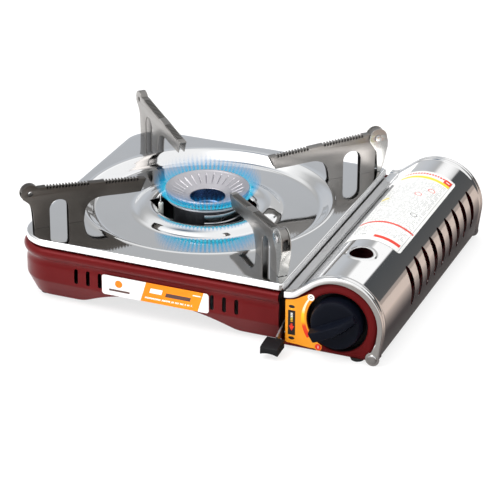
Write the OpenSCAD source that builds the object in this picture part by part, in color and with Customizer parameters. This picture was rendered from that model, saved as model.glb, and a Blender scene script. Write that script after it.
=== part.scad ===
// Portable single-burner gas stove with a canister bay under a hinged cover.
// Millimetres. +X to the canister side, +Y to the back, +Z up, the feet stand on Z = 0.
// Inside stove_frame() the drip plate's front left corner is at X = 0, Y = 0.

/* [Drip plate] */
// Width of the drip plate, left to right
plate_w = 245; // [240:1:250]
// Depth of the drip plate, front to back
plate_d = 256; // [252:1:262]
// Height of the plate's flat top above the table
plate_z = 58; // [56:0.5:62]
// Radius of the plate's two left corners
corner_r = 30; // [20:1:40]
// Height of the plate's rolled rim
rim_h = 7; // [5:0.5:9]
// Outer radius of the raised bead round the dish
bead_r = 111; // [105:1:114]
// Depth of the dish below the flat top
dish_depth = 8; // [6:0.5:10]
// Radius of the burner hole
burner_hole_r = 42; // [40:0.5:44]

/* [Case] */
// Thickness of the sheet metal
sheet = 1; // [0.8:0.1:1.2]
// Number of vent slots in each group
vents_per_group = 3; // [1:1:3]
// Height of the arch under the front wall
arch_h = 21; // [10:1:22]
// Radius of the arch
arch_r = 145; // [140:1:200]

/* [Trivets] */
// Thickness of a folded trivet
trivet_t = 6.5; // [5:0.1:8]
// Distance from the burner's axis to a trivet's outer foot
trivet_r = 160; // [156:1:161]
// Height of the lug pin above the plate
lug_z = 33; // [30:0.5:36]

/* [Burner] */
// Radius of the burner head
head_r = 37; // [34:0.5:38]
// Radius of the hole in the burner head
head_hole_r = 15.7; // [12:0.1:18]
// Height of the burner head's rim above the plate
head_rise = 12; // [8:0.5:14]

/* [Canister bay] */
// Radius of the cover's arch
cover_r = 39.2; // [39:0.1:39.4]
// Length of the cover, front to back
cover_d = 266; // [262:1:270]
// Number of vent slots in the cover's side
cover_slots = 9; // [4:1:9]
// Distance between the cover's slots
slot_pitch = 20.35; // [18:0.05:21]
// Radius of the gas canister that the bay holds
canister_r = 33.2; // [33:0.1:33.3]

/* [Controls] */
// Radius of the knob
knob_r = 22; // [20:0.5:23]
// Radius of the recess round the knob
recess_r = 26; // [24:0.5:26.5]
// Direction of the knob's pointer, from +X towards +Z
pointer_angle = 211; // [139:1:238]
// Angle of the lock lever's arm below level
lever_angle = 21; // [18:0.5:22]
// Radius of the lever's crank
crank_r = 11.5; // [10:0.5:12]

/* [Hidden] */
$fn = 64;
gap = 0.3;
fit_gap = 0.06;

// burner axis
burner_x = 121.8;
burner_y = 132.4;
bracket_screw_x = 35;

// levels
case_top = plate_z - rim_h - 1;
seat_z = plate_z - 1.1;
foot_z = 3;
floor_z = 21.5;

// canister bay
bay_x = 291;
canister_z = 37.5;
arch_x = 292.5;
arch_z = plate_z - 25;
bead_out = 0.8;
left_end = 128;
shoulder = 14.5;
blend_r = 15;
blend_x = arch_x + (cover_r + blend_r) * cos(left_end) - shoulder * sin(left_end);
blend_z = arch_z + (cover_r + blend_r) * sin(left_end) + shoulder * cos(left_end);
strip_x0 = 246.6;
strip_z = blend_z - blend_r;
hinge_x = 323.7;
hinge_z = 6.2;
hinge_pin_r = 2.5;
bay_right = 320.5;
wall_end_x = 241.5;
panel_x0 = 246.5;
partition_x = 238;

// controls
knob_x = 292.3;
knob_z = plate_z - 25.5;
spindle_r = 3;
pivot_y = 38;
pivot_z = 30;
lever_x = 243;
lever_t = 1.5;
crank_lean = 20;
crank_y = pivot_y - crank_r * sin(crank_lean);
crank_z = pivot_z + crank_r * cos(crank_lean);
yoke_y = 52;
yoke_w = 28;
cam_base_r = 14;
cam_rate = 6 / 99;
cam_back = 27;
cam_forward = 72;
gas_z = 33;
jet_y = 72;

// the whole object's middle
wall_bulge = 2.3;
lever_front = -25;
rivet_reach = 2.9;
mid_x = (arch_x + cover_r + bead_out - wall_bulge) / 2;
mid_y = (cover_d + rivet_reach + lever_front) / 2;

// ---------- helpers ----------

module stove_frame() {
    translate([-mid_x, -mid_y, 0]) children();
}

// extrudes an outline drawn in (Y, Z) along +X
module along_x(length) {
    rotate([90, 0, 90]) linear_extrude(length) children();
}

// extrudes an outline drawn in (X, Z) along +Y
module along_y(length) {
    translate([0, length, 0]) rotate([90, 0, 0]) linear_extrude(length) children();
}

module rod_x(r, length) {
    rotate([0, 90, 0]) cylinder(r = r, h = length);
}

module rod_y(r, length) {
    rotate([-90, 0, 0]) cylinder(r = r, h = length);
}

// a round rod between two points
module rod_between(a, b, r) {
    d = b - a;
    length = norm(d);
    translate(a) rotate([0, acos(d[2] / length), atan2(d[1], d[0])]) cylinder(r = r, h = length);
}

// a bent rod or pipe through a list of points
module bent_rod(points, r) {
    for (i = [0 : len(points) - 2]) rod_between(points[i], points[i + 1], r);
    for (i = [1 : len(points) - 2]) translate(points[i]) sphere(r = r);
}

module slot_2d(w, h) {
    square([w, h - w], center = true);
    for (s = [-1, 1]) translate([0, s * (h - w) / 2]) circle(d = w);
}

function arc(cx, cy, r, from, to, step = 5) =
    [for (i = [0 : round(abs(to - from) / step)])
        let (a = from + (to - from) * i / round(abs(to - from) / step))
        [cx + r * cos(a), cy + r * sin(a)]];

// ---------- case ----------

// outer line of the pressed wall, as [distance outside the plate's edge, height]
wall_line = [
    [-2, case_top], [1, case_top - 1.4], [wall_bulge, case_top - 4], [2, case_top - 6.5],
    [-0.2, case_top - 9.5], [-0.6, case_top - 12], [0.2, case_top - 17],
    [0.2, case_top - 29.5], [-0.6, case_top - 32], [-8, foot_z]
];

module case_section() {
    inner = [for (i = [len(wall_line) - 1 : -1 : 0]) wall_line[i] - [sheet, 0]];
    polygon(concat(wall_line, inner));
    translate([-7, case_top - sheet]) square([5, sheet]);
    translate([-7, case_top - sheet]) square([sheet, seat_z - case_top + sheet]);
    translate([-22, foot_z]) square([14, sheet]);
}

module vent_group(first_x) {
    for (i = [0 : vents_per_group - 1])
        translate([first_x + i * 11, -10, plate_z - 28.5]) along_y(20) slot_2d(3.6, 13.5);
}

module lower_case() stove_frame() color([0.42, 0.12, 0.13]) {
    difference() {
        union() {
            translate([corner_r, 0, 0]) along_x(wall_end_x - corner_r) mirror([1, 0]) case_section();
            translate([corner_r, plate_d, 0]) along_x(partition_x - corner_r) case_section();
            translate([0, corner_r, 0]) along_y(plate_d - 2 * corner_r) mirror([1, 0]) case_section();
            translate([corner_r, corner_r, 0]) rotate([0, 0, 180])
                rotate_extrude(angle = 90) translate([corner_r, 0]) case_section();
            translate([corner_r, plate_d - corner_r, 0]) rotate([0, 0, 90])
                rotate_extrude(angle = 90) translate([corner_r, 0]) case_section();
        }
        vent_group(57.5);
        vent_group(182);
        translate([0, plate_d, 0]) vent_group(57.5);
        translate([0, plate_d, 0]) vent_group(182);
        translate([131, -20, arch_h - arch_r]) rod_y(arch_r, plate_d + 40);
    }
}

module base_pan() stove_frame() color([0.55, 0.55, 0.56]) {
    edge = 1.2;
    r = corner_r - edge;
    difference() {
        translate([0, 0, floor_z]) linear_extrude(sheet) {
            translate([edge, corner_r]) square([partition_x - gap - edge, plate_d - 2 * corner_r]);
            translate([corner_r, edge]) square([partition_x - gap - corner_r, plate_d - 2 * edge]);
            for (y = [corner_r, plate_d - corner_r]) translate([corner_r, y]) circle(r = r);
        }
        for (a = [0 : 45 : 315])
            translate([burner_x + 62 * cos(a), burner_y + 62 * sin(a), floor_z - 1]) cylinder(r = 7, h = 4);
        for (s = [-1, 1])
            translate([burner_x + s * bracket_screw_x, burner_y, floor_z - 1]) cylinder(r = 1.6, h = 4);
    }
}

// upright sheet between the burner and the canister, with a ledge under the cover's edge
module partition() stove_frame() color([0.6, 0.6, 0.61]) {
    y0 = 9.3;
    y1 = plate_d - 3;
    difference() {
        union() {
            translate([partition_x, y0, foot_z + sheet]) cube([sheet, y1 - y0, seat_z - foot_z - sheet]);
            translate([partition_x, y0, case_top - sheet]) cube([13, y1 - y0, sheet]);
        }
        translate([partition_x - 1, jet_y, gas_z]) rod_x(5, 4);
        translate([partition_x - 1, 25, 27]) rod_x(3, 4);
    }
}

module bay_tray() stove_frame() color([0.42, 0.12, 0.13]) {
    translate([wall_end_x, 1.6, foot_z]) cube([bay_right - wall_end_x, cover_d - 4.2, sheet]);
    translate([partition_x, 24, foot_z]) cube([wall_end_x - partition_x, cover_d - 26.6, sheet]);
    translate([bay_right - sheet, 1.6, foot_z]) cube([sheet, cover_d - 4.2, 17]);
}

// outline of the two red end plates, inside the cover's rolled band
module end_outline(x0)
    polygon(concat(
        [[x0, foot_z], [318, foot_z], [hinge_x - 0.4, hinge_z + 6]],
        cover_line(-5),
        [[x0, strip_z - 5]]
    ));

module control_panel() stove_frame() color([0.42, 0.12, 0.13])
    difference() {
        along_y(1.2) end_outline(panel_x0);
        translate([knob_x, -1, knob_z]) rod_y(recess_r, 4);
        translate([hinge_x, -1, hinge_z]) rod_y(hinge_pin_r, 4);
    }

// cup behind the panel that the knob turns in
module knob_recess() stove_frame() color([0.06, 0.06, 0.07])
    translate([knob_x, 1.2, knob_z]) difference() {
        rod_y(recess_r + 1, 9);
        translate([0, -1, 0]) rod_y(recess_r, 9);
        rod_y(spindle_r + 1, 10);
    }

module rear_end_plate() stove_frame() color([0.42, 0.12, 0.13])
    translate([0, cover_d - 1.2, 0]) difference() {
        along_y(1.2) end_outline(partition_x + 0.2);
        translate([hinge_x, -1, hinge_z]) rod_y(hinge_pin_r, 4);
    }

module front_label() stove_frame() color([0.96, 0.6, 0.16])
    translate([130.75, -0.8, plate_z - 30]) along_y(0.5) square([97.5, 18], center = true);

module control_label() stove_frame() color([0.95, 0.62, 0.12])
    translate([0, -0.2, 0]) along_y(0.2) difference() {
        polygon([
            [247.3, plate_z - 51], [247.3, plate_z - 12.5], [262, plate_z - 8], [268, plate_z - 3.2],
            [272, plate_z - 5], [282, plate_z - 13], [282, plate_z - 47], [277, plate_z - 53.5]
        ]);
        translate([knob_x, knob_z]) circle(r = recess_r + 0.4);
    }

module rubber_feet() stove_frame() color([0.05, 0.05, 0.05])
    for (p = [[20, 20], [20, plate_d - 20], [308.5, 6.2], [308.5, cover_d - 14]])
        translate([p[0], p[1], 0]) difference() {
            cylinder(r1 = 5.5, r2 = 6.5, h = foot_z);
            translate([0, 0, -1]) cylinder(r = 2, h = 2);
        }

// ---------- burner and gas line ----------

module at_burner(z) {
    translate([burner_x, burner_y, z]) children();
}

module burner_bracket() stove_frame() color([0.62, 0.62, 0.62])
    at_burner(floor_z + sheet) difference() {
        translate([-40, -12, 0]) cube([80, 24, 1.5]);
        for (s = [-1, 1]) translate([s * bracket_screw_x, 0, -1]) cylinder(r = 1.6, h = 4);
    }

cup_z0 = floor_z + sheet + 1.5;
cup_z1 = plate_z + 2;
tube_r = 8;
tube_angle = atan2(jet_y - burner_y, 226 - burner_x);

module burner_cup() stove_frame() color([0.35, 0.35, 0.37])
    at_burner(0) difference() {
        rotate_extrude() polygon([
            [0, cup_z0], [22, cup_z0], [28, cup_z0 + 4], [30, cup_z1 - 20], [30, cup_z1],
            [27, cup_z1], [27, cup_z1 - 19], [25, cup_z0 + 6], [0, cup_z0 + 3]
        ]);
        translate([0, 0, gas_z]) rotate([0, 0, tube_angle]) rod_x(tube_r, 40);
    }

// steel collar round the right-hand part of the cup
module burner_band() stove_frame() color([0.75, 0.75, 0.76])
    at_burner(plate_z - 10) rotate([0, 0, -72])
        rotate_extrude(angle = 190) translate([30, 0]) square([1.2, 8]);

// ring of flame ports under a dished and grooved top
module burner_head() stove_frame() color([0.85, 0.85, 0.86]) {
    top = plate_z + head_rise;
    ports = 36;
    difference() {
        at_burner(0) rotate_extrude() polygon([
            [head_hole_r, cup_z1 + 3], [head_hole_r + 1, cup_z1 + 6], [head_r - 3, top], [head_r, top - 1],
            [head_r, top - 3], [head_r - 3, top - 4.5], [head_r - 3, cup_z1 + 2.6], [head_r - 0.5, cup_z1 + 2],
            [head_r - 0.5, cup_z1], [24, cup_z1], [24, cup_z1 + 3]
        ]);
        for (i = [0 : ports - 1])
            at_burner(cup_z1 + 4) rotate([0, 0, i * 360 / ports]) translate([head_r - 5, -0.8, 0]) cube([6, 1.6, 2.6]);
    }
}

module mixing_tube() stove_frame() color([0.7, 0.7, 0.7])
    at_burner(gas_z) rotate([0, 0, tube_angle]) difference() {
        union() {
            translate([28.5, 0, 0]) rod_x(tube_r - 0.05, 84);
            translate([100, 0, 0]) rod_x(tube_r + 1.5, 12.5);
        }
        translate([20, 0, 0]) rod_x(tube_r - 1.2, 100);
        translate([104, -12, -3]) cube([5, 24, 6]);
    }

module gas_jet() stove_frame() color([0.8, 0.65, 0.3])
    difference() {
        union() {
            translate([229, jet_y, gas_z]) rod_x(3, 9);
            translate([234, jet_y, gas_z]) rotate([0, 90, 0]) cylinder(r = 4.5, h = 3.5, $fn = 6);
        }
        translate([228, jet_y, gas_z]) rod_x(0.5, 6);
    }

module gas_pipe() stove_frame() color([0.75, 0.45, 0.25])
    bent_rod([[274.9, 30, gas_z], [252, 30, gas_z], [252, jet_y, gas_z], [238, jet_y, gas_z]], 2.5);

electrode_a = 205;
electrode_dist = 41;

module at_electrode(z) {
    translate([burner_x + electrode_dist * cos(electrode_a), burner_y + electrode_dist * sin(electrode_a), z])
        children();
}

module electrode_holder() stove_frame() color([0.65, 0.65, 0.66])
    difference() {
        at_electrode(plate_z - 22) rotate([0, 0, electrode_a + 180]) translate([-4, -4, 0]) cube([14.5, 8, sheet]);
        at_electrode(plate_z - 23) cylinder(r = 2.2, h = 4);
    }

module electrode_ceramic() stove_frame() color([0.95, 0.94, 0.9])
    at_electrode(0) {
        translate([0, 0, floor_z + 5]) cylinder(r = 2.2, h = plate_z - 8 - floor_z);
        translate([0, 0, plate_z - 21]) cylinder(r = 3.2, h = 4);
    }

module electrode_tip() stove_frame() color([0.6, 0.6, 0.62]) {
    tip_z = plate_z - 3;
    at_electrode(0) translate([0, 0, tip_z]) cylinder(r = 0.7, h = 8);
    at_electrode(tip_z + 8) sphere(r = 0.7);
    at_electrode(tip_z + 8) rotate([0, 0, electrode_a + 180]) rod_x(0.7, 3.2);
}

module ignition_lead() stove_frame() color([0.85, 0.2, 0.15])
    bent_rod([
        [256, 12.5, 28], [256, 12.5, 16], [241, 25, 16], [241, 25, 27], [230, 25, 27], [120, 40, 25],
        [burner_x + electrode_dist * cos(electrode_a), burner_y + electrode_dist * sin(electrode_a), floor_z + 4]
    ], 1);

module bracket_screws() stove_frame() color([0.7, 0.7, 0.7]) {
    for (s = [-1, 1]) translate([burner_x + s * bracket_screw_x, burner_y, floor_z - 1]) {
        cylinder(r = 1.5, h = 3.5);
        translate([0, 0, 3.5]) cylinder(r = 3, h = 1.6);
    }
}

// ---------- canister bay ----------

module piezo_igniter() stove_frame() color([0.12, 0.12, 0.13])
    translate([247.5, 8, knob_z - 4.5]) difference() {
        cube([17.3, 9, 9]);
        translate([6, 4.5, 4.5]) rod_x(2 + fit_gap, 14);
    }

module gas_regulator() stove_frame() color([0.72, 0.72, 0.7])
    difference() {
        union() {
            translate([knob_x, 12.2, knob_z]) rod_y(7, 6);
            translate([bay_x, 18, 36]) rod_y(16, 26);
            translate([bay_x, 44, canister_z]) rod_y(10, 6);
        }
        translate([knob_x, 11, knob_z]) rod_y(spindle_r + fit_gap, 12);
        translate([bay_x, 42, canister_z]) rod_y(4.5, 10);
    }

module regulator_bracket() stove_frame() color([0.62, 0.62, 0.62])
    difference() {
        translate([248.5, 44, foot_z + sheet]) cube([70.8, 1.2, 45.8]);
        translate([bay_x, 43, canister_z]) rod_y(10, 4);
        translate([252, 43, gas_z]) rod_y(3, 4);
        for (x = [bay_x - 21, bay_x + 21]) translate([x, 43, 12]) rod_y(2, 4);
    }

// two saddles that carry the canister
module canister_cradle() stove_frame() color([0.62, 0.62, 0.62])
    for (y = [110, 220])
        difference() {
            translate([bay_x - yoke_w, y, foot_z + sheet]) cube([2 * yoke_w, 3, 20]);
            translate([bay_x, y - 1, canister_z]) rod_y(canister_r + 0.4, 5);
        }

module yoke_guides() stove_frame() color([0.7, 0.7, 0.7])
    for (x = [bay_x - 21, bay_x + 21])
        translate([x, 44, 12]) rod_y(2, 28);

module lever_pivot() stove_frame() color([0.7, 0.7, 0.7]) {
    translate([partition_x + sheet, pivot_y, pivot_z]) rod_x(2.5, 7);
    translate([partition_x + sheet, pivot_y, pivot_z]) rod_x(6, lever_x - partition_x - sheet - gap);
}

module cover_hinge_rivets() stove_frame() color([0.8, 0.8, 0.8])
    for (y = [0, cover_d])
        translate([hinge_x, y, hinge_z]) mirror([0, y > 0 ? 1 : 0, 0]) {
            translate([0, -1.9, 0]) rod_y(hinge_pin_r, 3.9);
            translate([0, -rivet_reach, 0]) rod_y(4.2, 1);
        }

// outline of the cover's sheet from the hinge side over the arch to the strip, moved out by grow
function cover_line(grow) = concat(
    arc(arch_x, arch_z, cover_r + grow, -8, left_end),
    arc(blend_x, blend_z, blend_r - grow, left_end - 180, -90, 8)
);

function reversed(list) = [for (i = [len(list) - 1 : -1 : 0]) list[i]];

// how far the cover's lower edge reaches past the hinge's axis
foot_reach = 5;

module cover_section(inside, outside) {
    polygon(concat(
        [[hinge_x + foot_reach + inside, hinge_z + 1], [hinge_x + foot_reach + outside, hinge_z + 1]],
        cover_line(outside),
        [[strip_x0, strip_z + outside], [strip_x0, strip_z + inside]],
        reversed(cover_line(inside))
    ));
}

module canister_cover() stove_frame() color([0.8, 0.8, 0.81])
    difference() {
        union() {
            along_y(cover_d) cover_section(-sheet, 0);
            along_y(6) cover_section(-sheet / 2, bead_out);
            translate([0, cover_d - 6, 0]) along_y(6) cover_section(-sheet / 2, bead_out);
            for (y = [-1.5, cover_d + 0.3]) translate([0, y, 0]) {
                along_y(1.2) cover_section(-4.5, bead_out);
                translate([hinge_x, 0, hinge_z]) rod_y(6, 1.2);
            }
            for (y = [-0.9, cover_d - 0.3]) translate([0, y, 0]) along_y(1.2) cover_section(-0.5, bead_out);
        }
        for (i = [0 : cover_slots - 1])
            translate([arch_x + 12, 76.2 + i * slot_pitch - 3, 20]) cube([40, 6, 36]);
        translate([293, 53.5, plate_z]) cylinder(r = 10, h = 30);
        translate([hinge_x, -3, hinge_z]) rod_y(hinge_pin_r + fit_gap, cover_d + 6);
    }

module cover_label() stove_frame() color([0.93, 0.93, 0.9])
    translate([0, 80, 0]) along_y(152) polygon(concat(
        arc(arch_x, arch_z, cover_r + 0.35, 50, left_end),
        arc(arch_x, arch_z, cover_r + 0.1, left_end, 50)
    ));

// ---------- drip plate and trivets ----------

// direction of the V-shaped notch that leaves room for the electrode
notch_a = 200;
notch_tip_r = burner_hole_r + 9;
// where the notch's straight sides meet the hole
notch_side = [burner_hole_r * burner_hole_r / notch_tip_r,
    burner_hole_r * sqrt(1 - pow(burner_hole_r / notch_tip_r, 2))];

module plate_outline(inset) {
    right_r = 4;
    translate([inset, corner_r]) square([plate_w - 2 * inset, plate_d - 2 * corner_r]);
    translate([corner_r, inset]) square([plate_w - corner_r - right_r, plate_d - 2 * inset]);
    translate([corner_r, right_r]) square([plate_w - inset - corner_r, plate_d - 2 * right_r]);
    for (y = [corner_r, plate_d - corner_r]) translate([corner_r, y]) circle(r = corner_r - inset);
    for (y = [right_r, plate_d - right_r]) translate([plate_w - right_r, y]) circle(r = right_r - inset);
}

module dish_section() {
    line = [
        [burner_hole_r, -dish_depth - 1], [burner_hole_r + 2, -5.2], [burner_hole_r + 8, -3], [57, -3.6],
        [61.5, -6.2], [65, -dish_depth], [bead_r - 11, -dish_depth], [bead_r - 7, -5], [bead_r - 4.5, 0.6],
        [bead_r - 3, 1.4], [bead_r - 1.5, 1], [bead_r, 0]
    ];
    polygon(concat(line, [for (i = [len(line) - 1 : -1 : 0]) line[i] - [0, sheet]]));
}

module drip_plate() stove_frame() color([0.78, 0.79, 0.8])
    translate([0, 0, plate_z]) difference() {
        union() {
            difference() {
                translate([0, 0, -sheet]) linear_extrude(sheet) plate_outline(0);
                at_burner(-2 * sheet) cylinder(r = bead_r - 0.01, h = 4 * sheet);
            }
            difference() {
                translate([0, 0, -rim_h]) linear_extrude(rim_h) plate_outline(0);
                translate([0, 0, -rim_h - 1]) linear_extrude(rim_h + 2) plate_outline(sheet);
            }
            at_burner(0) rotate_extrude() dish_section();
        }
        at_burner(-12) rotate([0, 0, notch_a]) linear_extrude(12)
            polygon([[notch_tip_r, 0], notch_side, [burner_hole_r - 10, 0], [notch_side[0], -notch_side[1]]]);
    }

lug_r = 162.5;
lug_size = 8;
arm_tip_r = 58;

// side outline of a trivet, as [distance from the burner's axis, height above the plate]
module trivet_outline(top_cut) {
    difference() {
        union() {
            polygon(concat(
                [[trivet_r, 0], [trivet_r + 0.5, 14], [trivet_r + 1.5, 24], [158, 37.2 - top_cut],
                 [149, 37.2 - top_cut], [arm_tip_r, 30.5 - top_cut], [62.5, 18.8], [96, 20]],
                arc(100, 5, 15, 85, 5, 10),
                [[115.5, 0]]
            ));
            translate([lug_r, lug_z]) circle(r = lug_size - top_cut);
        }
        translate([137.5, -1]) square([17, 33], center = true);
        translate([137.5, 15.5]) circle(r = 8.5);
        translate([lug_r, lug_z]) circle(r = 2.2);
    }
}

// a folded channel, open below
module trivet(angle) stove_frame() color([0.51, 0.49, 0.47])
    at_burner(plate_z) rotate([0, 0, angle]) difference() {
        translate([0, -trivet_t / 2, 0]) along_y(trivet_t) trivet_outline(0);
        translate([0, 1 - trivet_t / 2, 0]) along_y(trivet_t - 2) difference() {
            trivet_outline(1);
            translate([lug_r, lug_z]) circle(r = 4);
        }
    }

module guard_outline() {
    difference() {
        union() {
            translate([lug_r, lug_z]) circle(r = lug_size + 0.6);
            polygon([[161, 24], [170, lug_z], [172.1, 29], [172.1, 24], [168.5, 8], [166, 0.5], [162.5, 0.5]]);
        }
        translate([lug_r, lug_z]) circle(r = 2.2 + fit_gap);
    }
}

// a thin channel that hangs from the lug: two cheeks and an outer web
module pan_guard(angle) stove_frame() color([0.75, 0.75, 0.74])
    at_burner(plate_z) rotate([0, 0, angle]) {
        inner_w = trivet_t + 2 * gap;
        for (y = [-inner_w / 2 - 0.8, inner_w / 2]) translate([0, y, 0]) along_y(0.8) guard_outline();
        translate([0, -inner_w / 2, 0]) along_y(inner_w) polygon([
            [172.1, 24], [168.5, 8], [166, 0.5], [165.1, 0.5], [167.6, 8], [171.2, 24]
        ]);
    }

module guard_pins() stove_frame() color([0.8, 0.8, 0.8])
    for (angle = [-45, 45])
        at_burner(plate_z) rotate([0, 0, angle]) translate([lug_r, 0, lug_z]) {
            translate([0, -5, 0]) rod_y(2.2, 10);
            for (y = [-5.6, 4.9]) translate([0, y, 0]) rod_y(3, 0.7);
        }

// ---------- controls ----------

module at_knob(y) {
    translate([knob_x, y, knob_z]) children();
}

module knob() stove_frame() color([0.08, 0.09, 0.11])
    difference() {
        union() {
            at_knob(-7) rod_y(knob_r - 0.5, 6);
            at_knob(-1) rod_y(knob_r, 8);
            at_knob(-15) rotate([0, -pointer_angle, 0]) translate([-knob_r + 1, 0, -4.5]) cube([2 * knob_r - 1, 10, 9]);
        }
        at_knob(-5) rod_y(spindle_r, 13);
    }

module knob_spindle() stove_frame() color([0.75, 0.75, 0.75])
    at_knob(-5) rod_y(spindle_r, 26.5);

// radius of the cam's spiral, a degrees from the plunger
function cam_radius(a) = cam_base_r - cam_rate * a;

module igniter_cam() stove_frame() color([0.9, 0.9, 0.88])
    translate([knob_x, 10.6, knob_z]) difference() {
        along_y(1.2) polygon(concat(
            [for (a = [-cam_back - 12 : 6 : cam_forward + 12])
                [-cam_radius(a) * cos(a), -cam_radius(a) * sin(a)]],
            [[4.5, -7], [6, 0], [4.5, 7]]
        ));
        translate([0, -1, 0]) rod_y(spindle_r, 4);
    }

module igniter_plunger() stove_frame() color([0.85, 0.85, 0.85])
    translate([256, 12.5, knob_z]) rod_x(2, knob_x - cam_base_r - 0.9 - 256);

module lever_arm() stove_frame() color([0.7, 0.7, 0.7])
    translate([lever_x, 0, 0]) difference() {
        union() {
            along_x(lever_t) difference() {
                union() {
                    translate([pivot_y, pivot_z]) circle(r = 7);
                    translate([crank_y, crank_z]) circle(r = 3.5);
                    translate([pivot_y, pivot_z]) rotate(90 + crank_lean) translate([0, -3.5]) square([crank_r, 7]);
                    translate([pivot_y, pivot_z]) rotate(180 + lever_angle) translate([0, -3]) square([50, 6]);
                }
                translate([pivot_y, pivot_z]) circle(r = 2.5 + fit_gap);
            }
            translate([0, crank_y, crank_z]) rod_x(2, 4.2);
        }
    }

module lever_cap() stove_frame() color([0.05, 0.05, 0.06])
    difference() {
        translate([235, lever_front, plate_z - 53.5]) cube([15.5, 16, 9]);
        translate([234, -17, plate_z - 53.5 - 28]) rod_x(28.8, 18);
        translate([lever_x, pivot_y, pivot_z]) rotate([-lever_angle, 0, 0]) mirror([0, 1, 0])
            translate([0, 0, -3]) cube([lever_t, 50, 6]);
    }

// plate that pushes the canister's collar on to the regulator
module canister_yoke() stove_frame() color([0.68, 0.68, 0.68])
    difference() {
        union() {
            translate([bay_x - yoke_w, yoke_y, 6]) cube([2 * yoke_w, 1.5, 44]);
            translate([245.4, yoke_y, 37]) cube([bay_x - yoke_w - 245.4 + 1, 1.5, 9]);
            translate([245.4, crank_y - 5, 36.5]) cube([1.2, yoke_y + 1.5 - crank_y + 5, 9.5]);
        }
        translate([bay_x, yoke_y - 1, canister_z]) rod_y(14, 4);
        translate([bay_x - 14, yoke_y - 1, canister_z]) cube([28, 4, 20]);
        for (x = [bay_x - 21, bay_x + 21]) translate([x, yoke_y - 1, 12]) rod_y(2 + fit_gap, 4);
        translate([245, crank_y, crank_z + 0.2]) along_x(3) slot_2d(4.7, 7);
    }

// ---------- the nodes ----------

lower_case();
base_pan();
partition();
bay_tray();
control_panel();
knob_recess();
rear_end_plate();
front_label();
control_label();
rubber_feet();
burner_bracket();
burner_cup();
burner_band();
burner_head();
mixing_tube();
gas_jet();
gas_pipe();
electrode_holder();
electrode_ceramic();
electrode_tip();
ignition_lead();
piezo_igniter();
gas_regulator();
regulator_bracket();
canister_cradle();
yoke_guides();
lever_pivot();
bracket_screws();
cover_hinge_rivets();
drip_plate();
trivet(-45);  // trivet_front_right
trivet(45);  // trivet_rear_right
trivet(135);  // trivet_rear_left
trivet(225);  // trivet_front_left
guard_pins();
pan_guard(-45);  // pan_guard_front
pan_guard(45);  // pan_guard_rear
canister_cover();
cover_label();
knob();
knob_spindle();
igniter_cam();
igniter_plunger();
lever_arm();
lever_cap();
canister_yoke();
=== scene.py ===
"""Looks of the portable gas stove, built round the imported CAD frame.

Shapes are worked out in millimetres in the stove's own corner frame. X = 0 and Y = 0 are at the drip plate's
front left corner and Z = 0 is at the table. place() turns a finished mesh into metres in the shared frame.
"""
import math
from functools import partialmethod

import bmesh
import bpy
import numpy as np
from mathutils import Matrix, Vector


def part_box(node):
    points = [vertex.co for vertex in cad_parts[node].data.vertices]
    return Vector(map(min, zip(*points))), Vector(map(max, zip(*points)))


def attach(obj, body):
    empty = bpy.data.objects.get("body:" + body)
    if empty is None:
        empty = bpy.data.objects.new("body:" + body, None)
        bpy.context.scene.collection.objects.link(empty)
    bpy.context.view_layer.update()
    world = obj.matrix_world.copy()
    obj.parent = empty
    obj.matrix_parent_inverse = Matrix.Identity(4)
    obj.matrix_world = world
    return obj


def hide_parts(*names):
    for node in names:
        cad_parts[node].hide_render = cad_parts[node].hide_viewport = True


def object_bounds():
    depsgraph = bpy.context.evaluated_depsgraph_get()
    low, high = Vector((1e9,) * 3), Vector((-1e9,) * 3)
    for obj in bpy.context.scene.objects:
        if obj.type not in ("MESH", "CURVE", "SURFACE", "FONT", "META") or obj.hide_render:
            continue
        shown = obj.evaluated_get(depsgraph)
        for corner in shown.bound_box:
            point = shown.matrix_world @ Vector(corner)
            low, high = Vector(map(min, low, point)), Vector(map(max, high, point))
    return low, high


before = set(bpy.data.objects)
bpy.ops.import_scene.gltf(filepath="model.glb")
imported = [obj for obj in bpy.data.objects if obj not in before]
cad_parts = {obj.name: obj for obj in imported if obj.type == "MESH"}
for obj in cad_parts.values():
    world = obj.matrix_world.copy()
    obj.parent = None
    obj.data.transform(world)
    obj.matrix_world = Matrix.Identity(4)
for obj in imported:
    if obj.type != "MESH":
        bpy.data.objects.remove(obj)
cad_lo, cad_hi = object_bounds()

# ---------- driving places, read from the frame ----------

MM = 0.001
plate_lo, plate_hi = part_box("drip_plate")
CORNER = Vector((plate_lo.x, plate_lo.y, cad_lo.z))
TO_FRAME = Matrix.Translation(CORNER) @ Matrix.Scale(MM, 4)


def local_box(*nodes):
    """Lowest and highest corner of CAD nodes, in the stove's corner frame, in millimetres."""
    corners = [(c - CORNER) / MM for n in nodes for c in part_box(n)]
    return (Vector(min(c[i] for c in corners) for i in range(3)),
            Vector(max(c[i] for c in corners) for i in range(3)))


def middle(box, *axes):
    """The middle of a box along some axes, 0 along the others."""
    lo, hi = box
    return Vector((lo[i] + hi[i]) / 2 if i in axes else 0 for i in range(3))


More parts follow.
